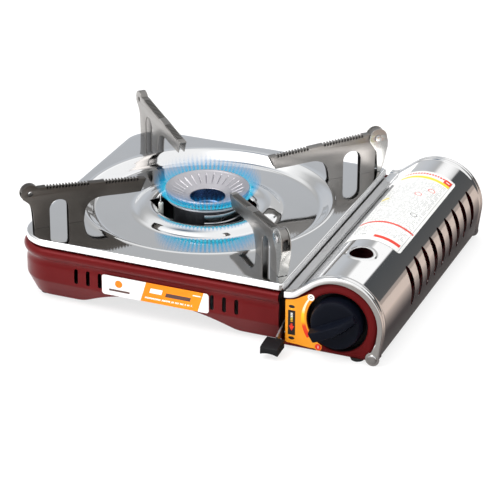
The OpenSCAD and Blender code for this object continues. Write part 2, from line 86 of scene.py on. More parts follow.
PLATE_W = (plate_hi.x - plate_lo.x) / MM
PLATE_D = (plate_hi.y - plate_lo.y) / MM
PLATE_ABOVE_CASE = 1.1
TOP = local_box("lower_case")[1].z + PLATE_ABOVE_CASE
CASE_TOP = TOP - 8
FOOT_Z = local_box("bay_tray")[0].z
head_lo, head_hi = head_box = local_box("burner_head")
BURNER = middle(head_box, 0, 1)
BURNER_TOP = Vector((BURNER.x, BURNER.y, TOP))
HEAD_R = (head_hi.x - head_lo.x) / 2
knob_lo, knob_hi = knob_box = local_box("knob")
KNOB = middle(knob_box, 0, 2)
KNOB_R = (knob_hi.x - knob_lo.x) / 2
HINGE = middle(local_box("cover_hinge_rivets"), 0, 2)
electrode_lo, electrode_hi = electrode_box = local_box("electrode_ceramic")
ELECTRODE = middle(electrode_box, 0, 1)
cover_lo, cover_hi = local_box("canister_cover")
COVER_D = local_box("rear_end_plate")[1].y
WALL_END = local_box("lower_case")[1].x
PANEL_X0 = local_box("control_panel")[0].x
CORNER_R = 30
RING_R = 111
DISH = 8
HOLE_R = 42
ARCH_R = 39.2
ARCH = Vector((cover_hi.x - ARCH_R - 0.8, 0, TOP - 25))
LEFT_END = 128
SHOULDER = 14.5
BLEND_R = 15
POINTER = 211
NOTCH = math.radians(200)


# ---------- helpers ----------

def link(data, name):
    obj = bpy.data.objects.new(name, data)
    bpy.context.scene.collection.objects.link(obj)
    return obj


def mesh_object(name, verts, faces):
    mesh = bpy.data.meshes.new(name)
    mesh.from_pydata([tuple(v) for v in verts], [], [tuple(f) for f in faces])
    mesh.update()
    return link(mesh, name)


def grid_object(name, rows, wrap_u=False, wrap_v=False):
    """A sheet of quads through rows of points; wrap_u closes each row, wrap_v joins the last to the first."""
    n, m = len(rows), len(rows[0])
    verts = [p for row in rows for p in row]
    faces = []
    for i in range(n if wrap_v else n - 1):
        for j in range(m if wrap_u else m - 1):
            a, b = i * m + j, i * m + (j + 1) % m
            c, d = ((i + 1) % n) * m + (j + 1) % m, ((i + 1) % n) * m + j
            faces.append((a, b, c, d))
    return mesh_object(name, verts, faces)


def apply_modifiers(obj):
    """Bakes an object's modifiers into its mesh."""
    graph = bpy.context.evaluated_depsgraph_get()
    mesh = bpy.data.meshes.new_from_object(obj.evaluated_get(graph))
    obj.modifiers.clear()
    obj.data = mesh
    return obj


def solidify(obj, thickness, offset=-1.0):
    mod = obj.modifiers.new("thick", "SOLIDIFY")
    mod.thickness = thickness
    mod.offset = offset
    mod.use_even_offset = True
    return apply_modifiers(obj)


def bevel(obj, width, segments=2, angle=40):
    mod = obj.modifiers.new("bevel", "BEVEL")
    mod.width = width
    mod.segments = segments
    mod.limit_method = "ANGLE"
    mod.angle_limit = math.radians(angle)
    mod.harden_normals = False
    return apply_modifiers(obj)


def cut(obj, *cutters, operation="DIFFERENCE"):
    """Cuts, or joins, with other closed meshes and deletes them."""
    for cutter in cutters:
        mod = obj.modifiers.new("cut", "BOOLEAN")
        mod.operation = operation
        mod.solver = "EXACT"
        mod.object = cutter
    apply_modifiers(obj)
    for cutter in cutters:
        bpy.data.objects.remove(cutter)
    return obj


def recalc(obj):
    bm = bmesh.new()
    bm.from_mesh(obj.data)
    bmesh.ops.remove_doubles(bm, verts=bm.verts, dist=1e-4)
    bmesh.ops.recalc_face_normals(bm, faces=bm.faces)
    bm.to_mesh(obj.data)
    bm.free()
    return obj


def close_ends(obj):
    """Fills the open ends of a tube."""
    bm = bmesh.new()
    bm.from_mesh(obj.data)
    bmesh.ops.holes_fill(bm, edges=[e for e in bm.edges if e.is_boundary])
    bm.to_mesh(obj.data)
    bm.free()
    return recalc(obj)


def add_uv(obj, columns, uv_at):
    """Lays a UV map on a grid whose rows have that many points. uv_at takes a point's row and column."""
    layer = obj.data.uv_layers.new(name="UVMap")
    for loop in obj.data.loops:
        layer.data[loop.index].uv = uv_at(*divmod(loop.vertex_index, columns))


def join(name, objects):
    """One object from several, whose meshes stay separate solids."""
    bm = bmesh.new()
    for o in objects:
        bm.from_mesh(o.data)
    mesh = bpy.data.meshes.new(name)
    bm.to_mesh(mesh)
    bm.free()
    for o in objects:
        bpy.data.objects.remove(o)
    return link(mesh, name)


def place(obj, body, slot, replaces=(), sharp=32, material=None):
    """Finishes a piece: metres, smooth shading with creases, its body, and hiding the nodes it stands for.

    Without a material of its own it gets the one named like its slot.
    """
    obj.data.transform(TO_FRAME)
    obj.data.polygons.foreach_set("use_smooth", [True] * len(obj.data.polygons))
    obj.data.set_sharp_from_angle(angle=math.radians(sharp))
    obj.data.materials.clear()
    obj.data.materials.append(material or MATERIALS[slot])
    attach(obj, body)
    if replaces:
        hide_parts(*replaces)
    return obj


def turns(n):
    """n angles that divide a full turn, from 0."""
    return [2 * math.pi * k / n for k in range(n)]


def arc(cx, cy, r, start, end, step=3.0):
    """Points of an arc, angles in degrees."""
    n = max(1, round(abs(end - start) / step))
    angles = [math.radians(start + (end - start) * i / n) for i in range(n + 1)]
    return [(cx + r * math.cos(a), cy + r * math.sin(a)) for a in angles]


def smooth_line(points, per_span=6):
    """A Catmull-Rom curve through 2-D points."""
    pts = [np.array(p, float) for p in points]
    pts = [2 * pts[0] - pts[1]] + pts + [2 * pts[-1] - pts[-2]]
    out = []
    for a, b, c, d in zip(pts, pts[1:], pts[2:], pts[3:]):
        for k in range(per_span):
            t = k / per_span
            out.append(0.5 * (2 * b + (c - a) * t + (2 * a - 5 * b + 4 * c - d) * t * t
                              + (3 * b - a - 3 * c + d) * t ** 3))
    out.append(pts[-2])
    return [tuple(p) for p in out]


def lathe(name, line, centre, axis="Z", segments=96, shape=None):
    """Turns a line of (radius, height) round an axis through centre. shape(angle, r, h) may alter a point."""
    rows = []
    for r, h in line:
        row = []
        for a in turns(segments):
            rr, hh = shape(a, r, h) if shape else (r, h)
            x, y = rr * math.cos(a), rr * math.sin(a)
            local = (x, y, hh) if axis == "Z" else ((x, hh, y) if axis == "Y" else (hh, x, y))
            row.append(Vector(centre) + Vector(local))
        rows.append(row)
    return recalc(grid_object(name, rows, wrap_u=True, wrap_v=line[0] == line[-1]))


def prism(name, outline, start, end, axis="Y"):
    """A closed solid: an outline carried along an axis, of (X, Z) for Y, (Y, Z) for X and (X, Y) for Z."""
    def at(p, t):
        return {"Y": (p[0], t, p[1]), "X": (t, p[0], p[1]), "Z": (p[0], p[1], t)}[axis]
    n = len(outline)
    verts = [at(p, start) for p in outline] + [at(p, end) for p in outline]
    faces = [tuple(range(n - 1, -1, -1)), tuple(range(n, 2 * n))]
    faces += [(k, (k + 1) % n, n + (k + 1) % n, n + k) for k in range(n)]
    return recalc(mesh_object(name, verts, faces))


def slot_outline(cx, cy, w, h, step=12):
    """Outline of an upright slot with round ends."""
    r = w / 2
    top = arc(cx, cy + h / 2 - r, r, 0, 180, step)
    return top + arc(cx, cy - h / 2 + r, r, 180, 360, step)


def cut_sheet(name, outline, holes, depth, edge):
    """A flat sheet from an outline with holes: depth thick about its middle plane, edges rounded by edge."""
    curve = bpy.data.curves.new(name, "CURVE")
    curve.dimensions = "2D"
    curve.fill_mode = "BOTH"
    for loop in [outline] + list(holes):
        spline = curve.splines.new("POLY")
        spline.points.add(len(loop) - 1)
        for point, p in zip(spline.points, loop):
            point.co = (p[0], p[1], 0, 1)
        spline.use_cyclic_u = True
    curve.offset = -edge
    curve.extrude = depth / 2 - edge
    curve.bevel_depth = edge
    curve.bevel_resolution = 2
    obj = link(curve, name)
    graph = bpy.context.evaluated_depsgraph_get()
    mesh = bpy.data.meshes.new_from_object(obj.evaluated_get(graph))
    bpy.data.objects.remove(obj)
    bpy.data.curves.remove(curve)
    return recalc(link(mesh, name))


# ---------- materials ----------

def first_node(tree, kind):
    return next(n for n in tree.nodes if n.type == kind)


def new_material(name):
    m = bpy.data.materials.new(name)
    m.use_nodes = True
    return m, m.node_tree, first_node(m.node_tree, "BSDF_PRINCIPLED")


def node(tree, kind, **inputs):
    n = tree.nodes.new(kind)
    for key, value in inputs.items():
        n.inputs[key.replace("_", " ")].default_value = value
    return n


def grey(level):
    return (level, level, level)


def ramp(tree, source, stops):
    """A colour ramp with stops given as (place, colour)."""
    n = tree.nodes.new("ShaderNodeValToRGB")
    elements = n.color_ramp.elements
    while len(elements) < len(stops):
        elements.new(0.5)
    for e, (at, colour) in zip(elements, stops):
        e.position = at
        e.color = (*colour, 1)
    tree.links.new(source, n.inputs["Fac"])
    return n.outputs["Color"]


def object_coords(tree, scale=(1, 1, 1)):
    coords = tree.nodes.new("ShaderNodeTexCoord")
    mapping = tree.nodes.new("ShaderNodeMapping")
    mapping.inputs["Scale"].default_value = scale
    tree.links.new(coords.outputs["Object"], mapping.inputs["Vector"])
    return mapping.outputs["Vector"]


def noise(tree, vector, scale, detail=3.0, roughness=0.5):
    n = node(tree, "ShaderNodeTexNoise", Scale=scale, Detail=detail, Roughness=roughness)
    tree.links.new(vector, n.inputs["Vector"])
    return n.outputs["Fac"]


def add_bump(tree, shader, height, strength, distance):
    b = node(tree, "ShaderNodeBump", Strength=strength, Distance=distance)
    tree.links.new(height, b.inputs["Height"])
    tree.links.new(b.outputs["Normal"], shader.inputs["Normal"])


def map_range(tree, value, low, high):
    n = tree.nodes.new("ShaderNodeMapRange")
    n.inputs["To Min"].default_value = low
    n.inputs["To Max"].default_value = high
    tree.links.new(value, n.inputs["Value"])
    return n.outputs["Result"]


class Field:
    """A number that varies over a surface, made of Math nodes."""

    def __init__(self, tree, value):
        self.tree, self.value = tree, value

    def math(self, operation, *others, clamp=False):
        n = self.tree.nodes.new("ShaderNodeMath")
        n.operation = operation
        n.use_clamp = clamp
        for socket, v in zip(n.inputs, (self,) + others):
            connect(self.tree, v.value if isinstance(v, Field) else v, socket)
        return Field(self.tree, n.outputs[0])

    __add__ = partialmethod(math, "ADD")
    __sub__ = partialmethod(math, "SUBTRACT")
    __mul__ = partialmethod(math, "MULTIPLY")
    __truediv__ = partialmethod(math, "DIVIDE")
    __rsub__ = partialmethod(math, "MULTIPLY_ADD", -1.0)
    abs = partialmethod(math, "ABSOLUTE")
    less = partialmethod(math, "LESS_THAN")
    more = partialmethod(math, "GREATER_THAN")

    def clamped(self):
        return self.math("ADD", 0.0, clamp=True)

    def smooth(self, low, high):
        """Runs from 0 at low to 1 at high."""
        return ((self - low) / (high - low)).clamped()


def position(tree, source="Object"):
    """Fields of a surface point: millimetres in the stove's corner frame, or the three numbers of its UV."""
    coords = tree.nodes.new("ShaderNodeTexCoord")
    split = tree.nodes.new("ShaderNodeSeparateXYZ")
    tree.links.new(coords.outputs[source], split.inputs[0])
    fields = [Field(tree, s) for s in split.outputs]
    if source == "Object":
        return [(f - CORNER[i]) / MM for i, f in enumerate(fields)]
    return fields


def connect(tree, value, socket):
    """Feeds a socket from another socket or with a plain value."""
    if isinstance(value, bpy.types.NodeSocket):
        tree.links.new(value, socket)
    else:
        socket.default_value = value


def paint(tree, colour, *layers):
    """Lays inks over a colour, each given as (ink, mask) and shown where its mask is 1."""
    for ink, mask in layers:
        n = tree.nodes.new("ShaderNodeMix")
        n.data_type = "RGBA"
        tree.links.new(mask.value, n.inputs[0])
        for value, socket in ((colour, n.inputs[6]), (ink, n.inputs[7])):
            connect(tree, (*value, 1) if isinstance(value, tuple) else value, socket)
        colour = n.outputs[2]
    return colour


def box_mask(u, v, centre_u, centre_v, width, height):
    return (u - centre_u).abs().less(width / 2) * (v - centre_v).abs().less(height / 2)


def disc_mask(u, v, centre_u, centre_v, radius):
    du, dv = u - centre_u, v - centre_v
    return (du * du + dv * dv).less(radius ** 2)


def ring_mask(u, v, centre_u, centre_v, outer, inner):
    return disc_mask(u, v, centre_u, centre_v, outer) - disc_mask(u, v, centre_u, centre_v, inner)


def brush_side(material):
    """Makes the drip plate's right side wall, which was sheared, duller than its polished top."""
    tree = material.node_tree
    shader = first_node(tree, "BSDF_PRINCIPLED")
    polished = shader.inputs["Roughness"].links[0].from_socket
    x, _, z = position(tree)
    side = x.more(PLATE_W - 0.8) * z.less(TOP - 0.4)
    dull = Field(tree, polished).math("MAXIMUM", side * 0.6)
    tree.links.new(dull.value, shader.inputs["Roughness"])


def grained(name, dark, light, rough, fine_noise, broad_scale, grain=(1, 1, 1)):
    """A material with a broad noise in its tone and a fine one, which is returned too, in its gloss."""
    m, tree, s = new_material(name)
    fine = noise(tree, object_coords(tree, grain), *fine_noise)
    broad = noise(tree, object_coords(tree), broad_scale, 3.0)
    tree.links.new(ramp(tree, broad, [(0.3, dark), (0.7, light)]), s.inputs["Base Color"])
    tree.links.new(map_range(tree, fine, *rough), s.inputs["Roughness"])
    return m, tree, s, fine


def metal(name, dark, light, rough, grain=(1, 1, 1), grain_scale=400.0, bump=0.05):
    """A metal with a grain, which may be stretched."""
    m, tree, s, fine = grained(name, dark, light, rough, (grain_scale, 4.0, 0.6), 18.0, grain)
    s.inputs["Metallic"].default_value = 1.0
    add_bump(tree, s, fine, bump, 0.0002)
    return m


def moulded(name, dark, light, rough, bump=0.15, grain_scale=1800.0, specular=0.5, tint=(1, 1, 1)):
    """Moulded plastic, rubber or enamel with a fine surface texture."""
    m, tree, s, fine = grained(name, dark, light, rough, (grain_scale, 3.0, 0.6), 25.0)
    s.inputs["Specular IOR Level"].default_value = specular
    s.inputs["Specular Tint"].default_value = (*tint, 1)
    add_bump(tree, s, fine, bump, 0.0001)
    return m


MATERIALS = {
    "case_paint": moulded("maroon_enamel", (0.090, 0.0045, 0.0050), (0.110, 0.0065, 0.0070), (0.26, 0.33),
                          0.04, 900.0, specular=0.30, tint=(1, 0.30, 0.32)),
    "plated_sheet": metal("zinc_plated_sheet", (0.40, 0.40, 0.41), (0.52, 0.52, 0.52), (0.30, 0.48)),
    "black_plastic": moulded("black_plastic", (0.007, 0.007, 0.008), (0.011, 0.011, 0.012), (0.40, 0.52),
                             specular=0.14),
    "knob_plastic": moulded("knob_plastic", (0.0028, 0.0036, 0.0075), (0.0045, 0.006, 0.011), (0.26, 0.36),
                            0.1, specular=0.10),
    "foot_rubber": moulded("foot_rubber", (0.012, 0.012, 0.012), (0.02, 0.02, 0.02), (0.7, 0.85), 0.3, 900.0),
    "cast_cup": metal("dark_casting", (0.05, 0.05, 0.06), (0.12, 0.12, 0.13), (0.45, 0.65), bump=0.3),
    "cast_head": metal("satin_casting", (0.50, 0.49, 0.52), (0.58, 0.57, 0.60), (0.36, 0.50), bump=0.2),
    # Blue steel of the burner throat: the blue is painted light from the flames.
    "throat_steel_painted_flame_light": metal("throat_steel_painted_flame_light", (0.13, 0.20, 0.32), (0.18, 0.27, 0.42), (0.22, 0.34)),
    "burner_steel": metal("burner_steel", (0.48, 0.48, 0.50), (0.62, 0.62, 0.63), (0.15, 0.25)),
    "jet_brass": metal("jet_brass", (0.58, 0.40, 0.14), (0.72, 0.52, 0.20), (0.20, 0.32)),
    "pipe_copper": metal("pipe_copper", (0.50, 0.22, 0.12), (0.68, 0.34, 0.20), (0.20, 0.34)),
    "electrode_ceramic": moulded("glazed_ceramic", (0.80, 0.79, 0.74), (0.88, 0.87, 0.83), (0.10, 0.18),
                                 0.03),
    "lead_cover": moulded("silicone_lead", (0.30, 0.015, 0.015), (0.38, 0.025, 0.02), (0.40, 0.50)),
    "cam_plastic": moulded("nylon", (0.68, 0.66, 0.60), (0.76, 0.75, 0.70), (0.40, 0.50)),
    "cast_zinc": metal("cast_zinc", (0.40, 0.40, 0.40), (0.52, 0.52, 0.51), (0.40, 0.60), bump=0.3),
    "pin_steel": metal("bright_steel", (0.62, 0.62, 0.63), (0.74, 0.74, 0.74), (0.12, 0.22)),
    "mirror_plate": metal("polished_sheet", (0.84, 0.85, 0.86), (0.88, 0.885, 0.89), (0.035, 0.075),
                          (1, 12, 1), 260.0, 0.012),
    "mirror_cover": metal("polished_cover", (0.86, 0.86, 0.86), (0.90, 0.90, 0.90), (0.035, 0.075),
                          (1, 14, 1), 240.0, 0.015),
    "trivet_steel": metal("satin_plated_steel", (0.24, 0.23, 0.22), (0.31, 0.30, 0.29), (0.28, 0.40),
                          (1, 1, 1), 700.0, 0.10),
    # A darker copy of the trivet steel: painted shade for the front left trivet.
    "trivet_painted_shade": metal("trivet_steel_painted_shade", (0.085, 0.077, 0.070), (0.12, 0.11, 0.10), (0.32, 0.44),
                         (1, 1, 1), 700.0, 0.10),
    "guard_steel": metal("bright_folded_steel", (0.42, 0.42, 0.41), (0.54, 0.54, 0.52), (0.16, 0.28)),
}

brush_side(MATERIALS["mirror_plate"])


# ---------- lower case ----------

WALL = smooth_line([
    (-11, TOP - 1.15), (-7.2, TOP - 1.15), (-6.3, TOP - 1.8), (-6.1, CASE_TOP + 1), (-5.2, CASE_TOP + 0.1),
    (-2.6, CASE_TOP), (-0.6, CASE_TOP - 0.4), (1.2, CASE_TOP - 1.7), (2.15, CASE_TOP - 3.6),
    (2.2, CASE_TOP - 5.6), (1.2, CASE_TOP - 7.9), (-0.1, CASE_TOP - 9.6), (-0.7, CASE_TOP - 11.6),
    (-0.5, CASE_TOP - 13.6), (0.05, CASE_TOP - 15.8), (0.25, CASE_TOP - 18), (0.25, CASE_TOP - 24),
    (0.25, CASE_TOP - 28.6), (0.0, CASE_TOP - 30.2), (-0.8, CASE_TOP - 32), (-4.4, CASE_TOP - 39.6),
    (-7.6, CASE_TOP - 46.2)
], 5)
ARCH_TOP = 21
UNDER_ARCH_R = 145
ARCH_X = 131
SHEET = 0.6
THIN_SHEET = 0.5


def arch_height(x):
    """Height of the wall's lower edge at x: the feet's level, or the arch over it."""
    reach = UNDER_ARCH_R ** 2 - (x - ARCH_X) ** 2
    arch = ARCH_TOP - UNDER_ARCH_R + math.sqrt(max(reach, 0))
    blend = 1.2
    return FOOT_Z + 0.2 + blend * math.log1p(math.exp(min((arch - FOOT_Z) / blend, 60)))


def wall_columns():
    """Walks round the case: (point on the plate's edge line, outward direction, height of the lower edge)."""
    out = []
    spacing = 2.2
    steps = round((WALL_END - CORNER_R) / spacing)
    for i in range(steps + 1):
        x = WALL_END + (CORNER_R - WALL_END) * i / steps
        out.append((Vector((x, 0)), Vector((0, -1)), arch_height(x)))
    for a in range(3, 90, 3):
        d = Vector((-math.sin(math.radians(a)), -math.cos(math.radians(a))))
        out.append((Vector((CORNER_R, CORNER_R)) + d * CORNER_R, d, FOOT_Z + 0.2))
    side_steps = 60
    for i in range(side_steps + 1):
        y = CORNER_R + (PLATE_D - 2 * CORNER_R) * i / side_steps
        out.append((Vector((0, y)), Vector((-1, 0)), FOOT_Z + 0.2))
    for a in range(3, 90, 3):
        d = Vector((-math.cos(math.radians(a)), math.sin(math.radians(a))))
        out.append((Vector((CORNER_R, PLATE_D - CORNER_R)) + d * CORNER_R, d, FOOT_Z + 0.2))
    end = WALL_END - 3.5
    steps = round((end - CORNER_R) / spacing)
    for i in range(steps + 1):
        x = CORNER_R + (end - CORNER_R) * i / steps
        out.append((Vector((x, PLATE_D)), Vector((0, 1)), arch_height(x)))
    return out


def wall_outset(z):
    """How far the outer wall stands outside the plate's edge at height z, below its bulge."""
    lower = [p for p in WALL if p[1] < CASE_TOP - 4][::-1]
    return float(np.interp(z, [p[1] for p in lower], [p[0] for p in lower]))


def make_case():
    """The enamelled case: WALL carried round the outline, its foot bent in as a flange, and the vents."""
    bend_level = ARCH_TOP + 3.5
    low = WALL[-1][1]
    flange_rise = 0.9
    flange = [(-1.6, -0.7), (-4.5, -0.9), (-13.0, -0.9)]
    rows = []
    for outset, z in WALL:
        row = []
        for base, out, bottom in wall_columns():
            zz, oo = z, outset
            if z < bend_level:
                rise = bend_level - bottom - flange_rise
                zz = bottom + flange_rise + (z - low) * rise / (bend_level - low)
                oo = wall_outset(zz)
            p = base + out * oo
            row.append((p.x, p.y, zz))
        rows.append(row)
    for inward, drop in flange:
        row = []
        for base, out, bottom in wall_columns():
            p = base + out * (wall_outset(bottom + flange_rise) + inward)
            row.append((p.x, p.y, bottom + flange_rise + drop))
        rows.append(row)
    case = solidify(grid_object("case_shell", rows), SHEET)
    cutters = []
    for y0 in (0, PLATE_D):
        for first in (57.5, 182):
            for i in range(3):
                outline = slot_outline(first + 11 * i, TOP - 28.5, 3.6, 13.6)
                cutters.append(prism("vent", outline, y0 - 8, y0 + 8))
    cut(recalc(case), *cutters)
    return place(case, "case", "case_paint", ["lower_case"], 35)


# ---------- drip plate ----------

def plate_outline(inset):
    """Points round the plate, anticlockwise from the front right corner, as many for every inset."""
    small = 4
    lo, hi_x, hi_y = inset, PLATE_W - inset, PLATE_D - inset
    pts = []

    def straight(a, b, n):
        for i in range(1, n):
            pts.append((a[0] + (b[0] - a[0]) * i / n, a[1] + (b[1] - a[1]) * i / n))

    def corner(cx, cy, r, start):
        pts.extend(arc(cx, cy, max(r - inset, 0.4), start, start + 90, 2.5 if r > 10 else 9))

    corner(PLATE_W - small, small, small, -90)
    straight((hi_x, small), (hi_x, PLATE_D - small), 120)
    corner(PLATE_W - small, PLATE_D - small, small, 0)
    straight((PLATE_W - small, hi_y), (CORNER_R, hi_y), 105)
    corner(CORNER_R, PLATE_D - CORNER_R, CORNER_R, 90)
    straight((lo, PLATE_D - CORNER_R), (lo, CORNER_R), 98)
    corner(CORNER_R, CORNER_R, CORNER_R, 180)
    straight((CORNER_R, lo), (PLATE_W - small, lo), 105)
    return pts


COLLAR = smooth_line([(57.5, -3.75), (54.5, -3.05), (51, -2.85), (48, -3.5), (45.2, -5.0), (43.2, -7.0),
                      (42, -9.2)], 4)
DISH_LINE = smooth_line([
    (RING_R + 1.5, 0), (RING_R + 0.4, 0.2), (RING_R - 0.9, 0.3), (RING_R - 2.4, -0.25), (RING_R - 4.4, -1.6),
    (RING_R - 6.6, -3.5), (RING_R - 8.6, -5.2), (RING_R - 10.6, -6.8), (RING_R - 13, -7.85),
    (RING_R - 16, -DISH), (90, -DISH), (80, -DISH), (72, -DISH), (67.5, -DISH + 0.05), (64.8, -7.3),
    (62.6, -6.0), (60.2, -4.7), (57.5, -3.75)
], 4)


def round_burner(r, angle, z):
    """A point at a distance and in a direction from the burner's axis, z above the plate."""
    return (BURNER.x + r * math.cos(angle), BURNER.y + r * math.sin(angle), TOP + z)


def notch_radius(angle):
    """Where the burner hole's edge lies in a direction: a circle with a V-shaped notch for the electrode."""
    off = abs((angle - NOTCH + math.pi) % (2 * math.pi) - math.pi)
    tip = HOLE_R + 9
    tangent = math.acos(HOLE_R / tip)
    if off > tangent:
        return HOLE_R
    return tip / (math.cos(off) + math.sin(off) * math.tan(tangent))


def make_drip_plate():
    outer = plate_outline(0)
    angles = [math.atan2(y - BURNER.y, x - BURNER.x) for x, y in outer]
    rim = 1.8
    hem = [(0.0, -5.5), (0.2, -5.95), (0.7, -6.1), (1.2, -5.8), (1.2, -4.8)]
    rows = []
    for inset, z in reversed(hem):
        rows.append([(x, y, TOP + z) for x, y in plate_outline(inset)])
    for k in range(9):
        a = math.radians(90 - 90 * k / 8)
        inset, drop = rim * (1 - math.sin(a)), rim * (1 - math.cos(a))
        rows.append([(x, y, TOP - drop) for x, y in plate_outline(inset)])
    inner = plate_outline(rim)
    for k in range(1, 10):
        t = k / 10
        row = []
        for (x, y), a in zip(inner, angles):
            r = RING_R + 1.5
            to_x, to_y, _ = round_burner(r, a, 0)
            row.append((x + (to_x - x) * t, y + (to_y - y) * t, TOP))
        rows.append(row)
    for r, z in DISH_LINE[:-1]:
        rows.append([round_burner(r, a, z) for a in angles])
    first, last = COLLAR[0][0], COLLAR[-1][0]
    radii, heights = [p[0] for p in COLLAR][::-1], [p[1] for p in COLLAR][::-1]
    for r, z in COLLAR:
        t = (first - r) / (first - last)
        row = []
        for a in angles:
            rr = first + (notch_radius(a) - first) * t
            zz = float(np.interp(rr, radii, heights))
            row.append(round_burner(rr, a, zz))
        rows.append(row)
    plate = recalc(solidify(grid_object("polished_plate", rows, wrap_u=True), THIN_SHEET))
    return place(plate, "top_plate", "mirror_plate", ["drip_plate"], 50)


# ---------- trivets and pan guards ----------

GUARD_PLAY = 0.6
LUG_R = 162.5
LUG_Z = 33
LUG_SIZE = 8
TRIVET_T = 6.5
ARM_TIP = 58
TOOTH = 2.8


def at_trivet(obj, angle):
    """Stands a sheet drawn in (distance from the burner, height) upright, at an angle round the burner."""
    turn = Matrix.Rotation(math.radians(angle), 4, "Z") @ Matrix.Rotation(math.radians(90), 4, "X")
    obj.data.transform(Matrix.Translation((BURNER.x, BURNER.y, TOP)) @ turn)
    return obj


def top_height(r):
    """Height of a trivet's top edge, which falls slowly towards the burner."""
    return 37.2 - max(0.0, 149 - r) * (37.2 - 30.5) / (149 - ARM_TIP)


def toothed_edge(outer, inner):
    """The toothed top edge from outer to inner radius, as round notches between flat teeth."""
    pts = []
    count = round((outer - inner) / TOOTH)
    for k in range(count):
        start = outer - (outer - inner) * k / count
        width = (outer - inner) / count
        pts.append((start, top_height(start)))
        for a in range(0, 181, 30):
            r = start - width * (0.34 + 0.33 * (1 - math.cos(math.radians(a))))
            pts.append((r, top_height(r) - 2.0 * math.sin(math.radians(a))))
    return pts


def trivet_top():
    lug = arc(LUG_R, LUG_Z, LUG_SIZE, -38, 148, 8)
    return (lug + [(153, 37.2), (149, 37.2)] + toothed_edge(149, 110) + [(110, top_height(110))]
            + toothed_edge(96, 65) + [(65, top_height(65)), (ARM_TIP + 0.8, top_height(ARM_TIP))])


def trivet_outline():
    arch = smooth_line([(63.2, 18.9), (78, 19.2), (96, 20.1), (103.5, 19.6), (109.5, 16.8), (113.2, 11.6),
                        (114.8, 5.5), (115.5, 0)], 4)
    outer = smooth_line([(160, 0), (160.3, 8), (160.8, 15), (161.8, 20), (164.2, 24), (168.2, 27.8)], 4)
    slot = [(129, 0)] + arc(137.5, 15.5, 8.5, 180, 0, 10) + [(146, 0)]
    return outer[:-1] + trivet_top() + [(ARM_TIP, 30.0)] + arch + slot


def make_trivet(name, angle):
    hole = arc(LUG_R, LUG_Z, 2.2, 0, 345, 15)
    sides = cut_sheet(name, trivet_outline(), [hole], TRIVET_T, 0.35)
    inner_top = [(r, z - 1.3) for r, z in [(172, 36), (158, 36.9), (149, 36.9), (ARM_TIP - 3, 30.1)]]
    channel = [(172, -3)] + inner_top + [(ARM_TIP - 3, -3)]
    hollow = prism("hollow", channel, -TRIVET_T / 2 + 0.9, TRIVET_T / 2 - 0.9, "Z")
    boss = prism("boss", arc(LUG_R, LUG_Z, 4.2, 0, 345, 15), -TRIVET_T / 2, TRIVET_T / 2, "Z")
    cut(hollow, boss)
    cut(sides, hollow)
    at_trivet(sides, angle)
    # The front left trivet gets the darker copy of the steel, which is painted shade.
    steel = MATERIALS["trivet_painted_shade" if name == "trivet_front_left" else "trivet_steel"]
    return place(sides, "top_plate", "trivet_steel", [name], 30, steel)


def make_guard(name, body, angle):
    inner_w = TRIVET_T + GUARD_PLAY
    hole = arc(LUG_R, LUG_Z, 2.26, 0, 345, 15)
    cheek = (arc(LUG_R, LUG_Z, LUG_SIZE + 0.6, 200, 15, 8)
             + [(171.4, 32), (172.1, 29.5), (172.1, 24)]
             + [(170.2, 15.5), (168.5, 8), (166, 0.5), (162.5, 0.5), (161.2, 20)])
    parts = []
    for s in (-1, 1):
        plate = cut_sheet("cheek", cheek, [hole], 0.8, 0.12)
        plate.data.transform(Matrix.Translation((0, 0, s * (inner_w / 2 + 0.4))))
        parts.append(plate)
    web = [(172.1, 25.5), (172.1, 24), (170.2, 15.5), (168.5, 8), (166, 0.5), (165.1, 0.5), (167.6, 8),
           (169.3, 15.5), (171.2, 24), (171.2, 25.5)]
    plate = cut_sheet("web", web, [], inner_w + 1.0, 0.1)
    parts.append(plate)
    guard = parts[0]
    cut(guard, *parts[1:], operation="UNION")
    guard.name = name.replace("pan_guard", "guard_channel")
    at_trivet(guard, angle)
    return place(guard, body, "guard_steel", [name], 30)


def make_guard_pins():
    parts = []
    for angle in (-45, 45):
        half = 5.5
        line = [(0.01, -half), (2.0, -half), (2.9, -half + 0.4), (3.0, -4.75), (2.2, -4.7), (2.2, 4.7),
                (3.0, 4.75), (2.9, half - 0.4), (2.0, half), (0.01, half)]
        pin = lathe("pin", line, (LUG_R, LUG_Z, 0), "Z", 40)
        parts.append(at_trivet(pin, angle))
    pins = join("guard_pin_rivets", parts)
    return place(pins, "top_plate", "pin_steel", ["guard_pins"])


# ---------- burner ----------

PORTS = 72
GROOVES = 28


def make_burner_head():
    """The cast head: a funnel with fine grooves inside, and a rim with the gas ports cut into it."""
    top = 12.0
    outer = HEAD_R
    inner = 15.7
    line = smooth_line([
        (inner + 0.5, 2.0), (inner, 2.25), (inner + 0.35, 2.75), (inner + 1.6, 3.3), (21, 5.1), (26, 7.5),
        (31, 9.9), (33.6, 11.1), (outer - 2.2, top - 0.2), (outer - 1.1, top), (outer - 0.3, top - 0.5),
        (outer, top - 1.4), (outer - 0.2, top - 2.4), (outer - 0.9, top - 3.3), (outer - 2.4, top - 4.4),
        (outer - 3.0, 6.6), (outer - 3.0, 5.6), (outer - 2.2, 4.9), (outer - 0.8, 4.4), (outer - 0.5, 3.6),
        (outer - 0.9, 2.6), (outer - 3, 2.0), (26, 2.0), (inner + 2, 2.0), (inner + 0.5, 2.0)], 5)

    def shape(a, r, h):
        if 21 < r < 32 and h > 4.5:
            fade = min(1, (r - 21) / 1.5, (32 - r) / 1.5)
            h -= 0.9 * max(0.0, math.cos(a * GROOVES)) ** 10 * fade
        if 5.2 < h < 8.8 and r > outer - 5:
            depth = 1 - abs(h - 6.9) / 1.9
            r -= 2.6 * min(1, max(0.0, math.cos(a * PORTS) - 0.25) * 2.5) * min(1, depth * 3)
        return r, h

    head = lathe("burner_cap", line, BURNER_TOP, "Z", 1008, shape)
    return place(head, "case", "cast_head", ["burner_head"], 45)


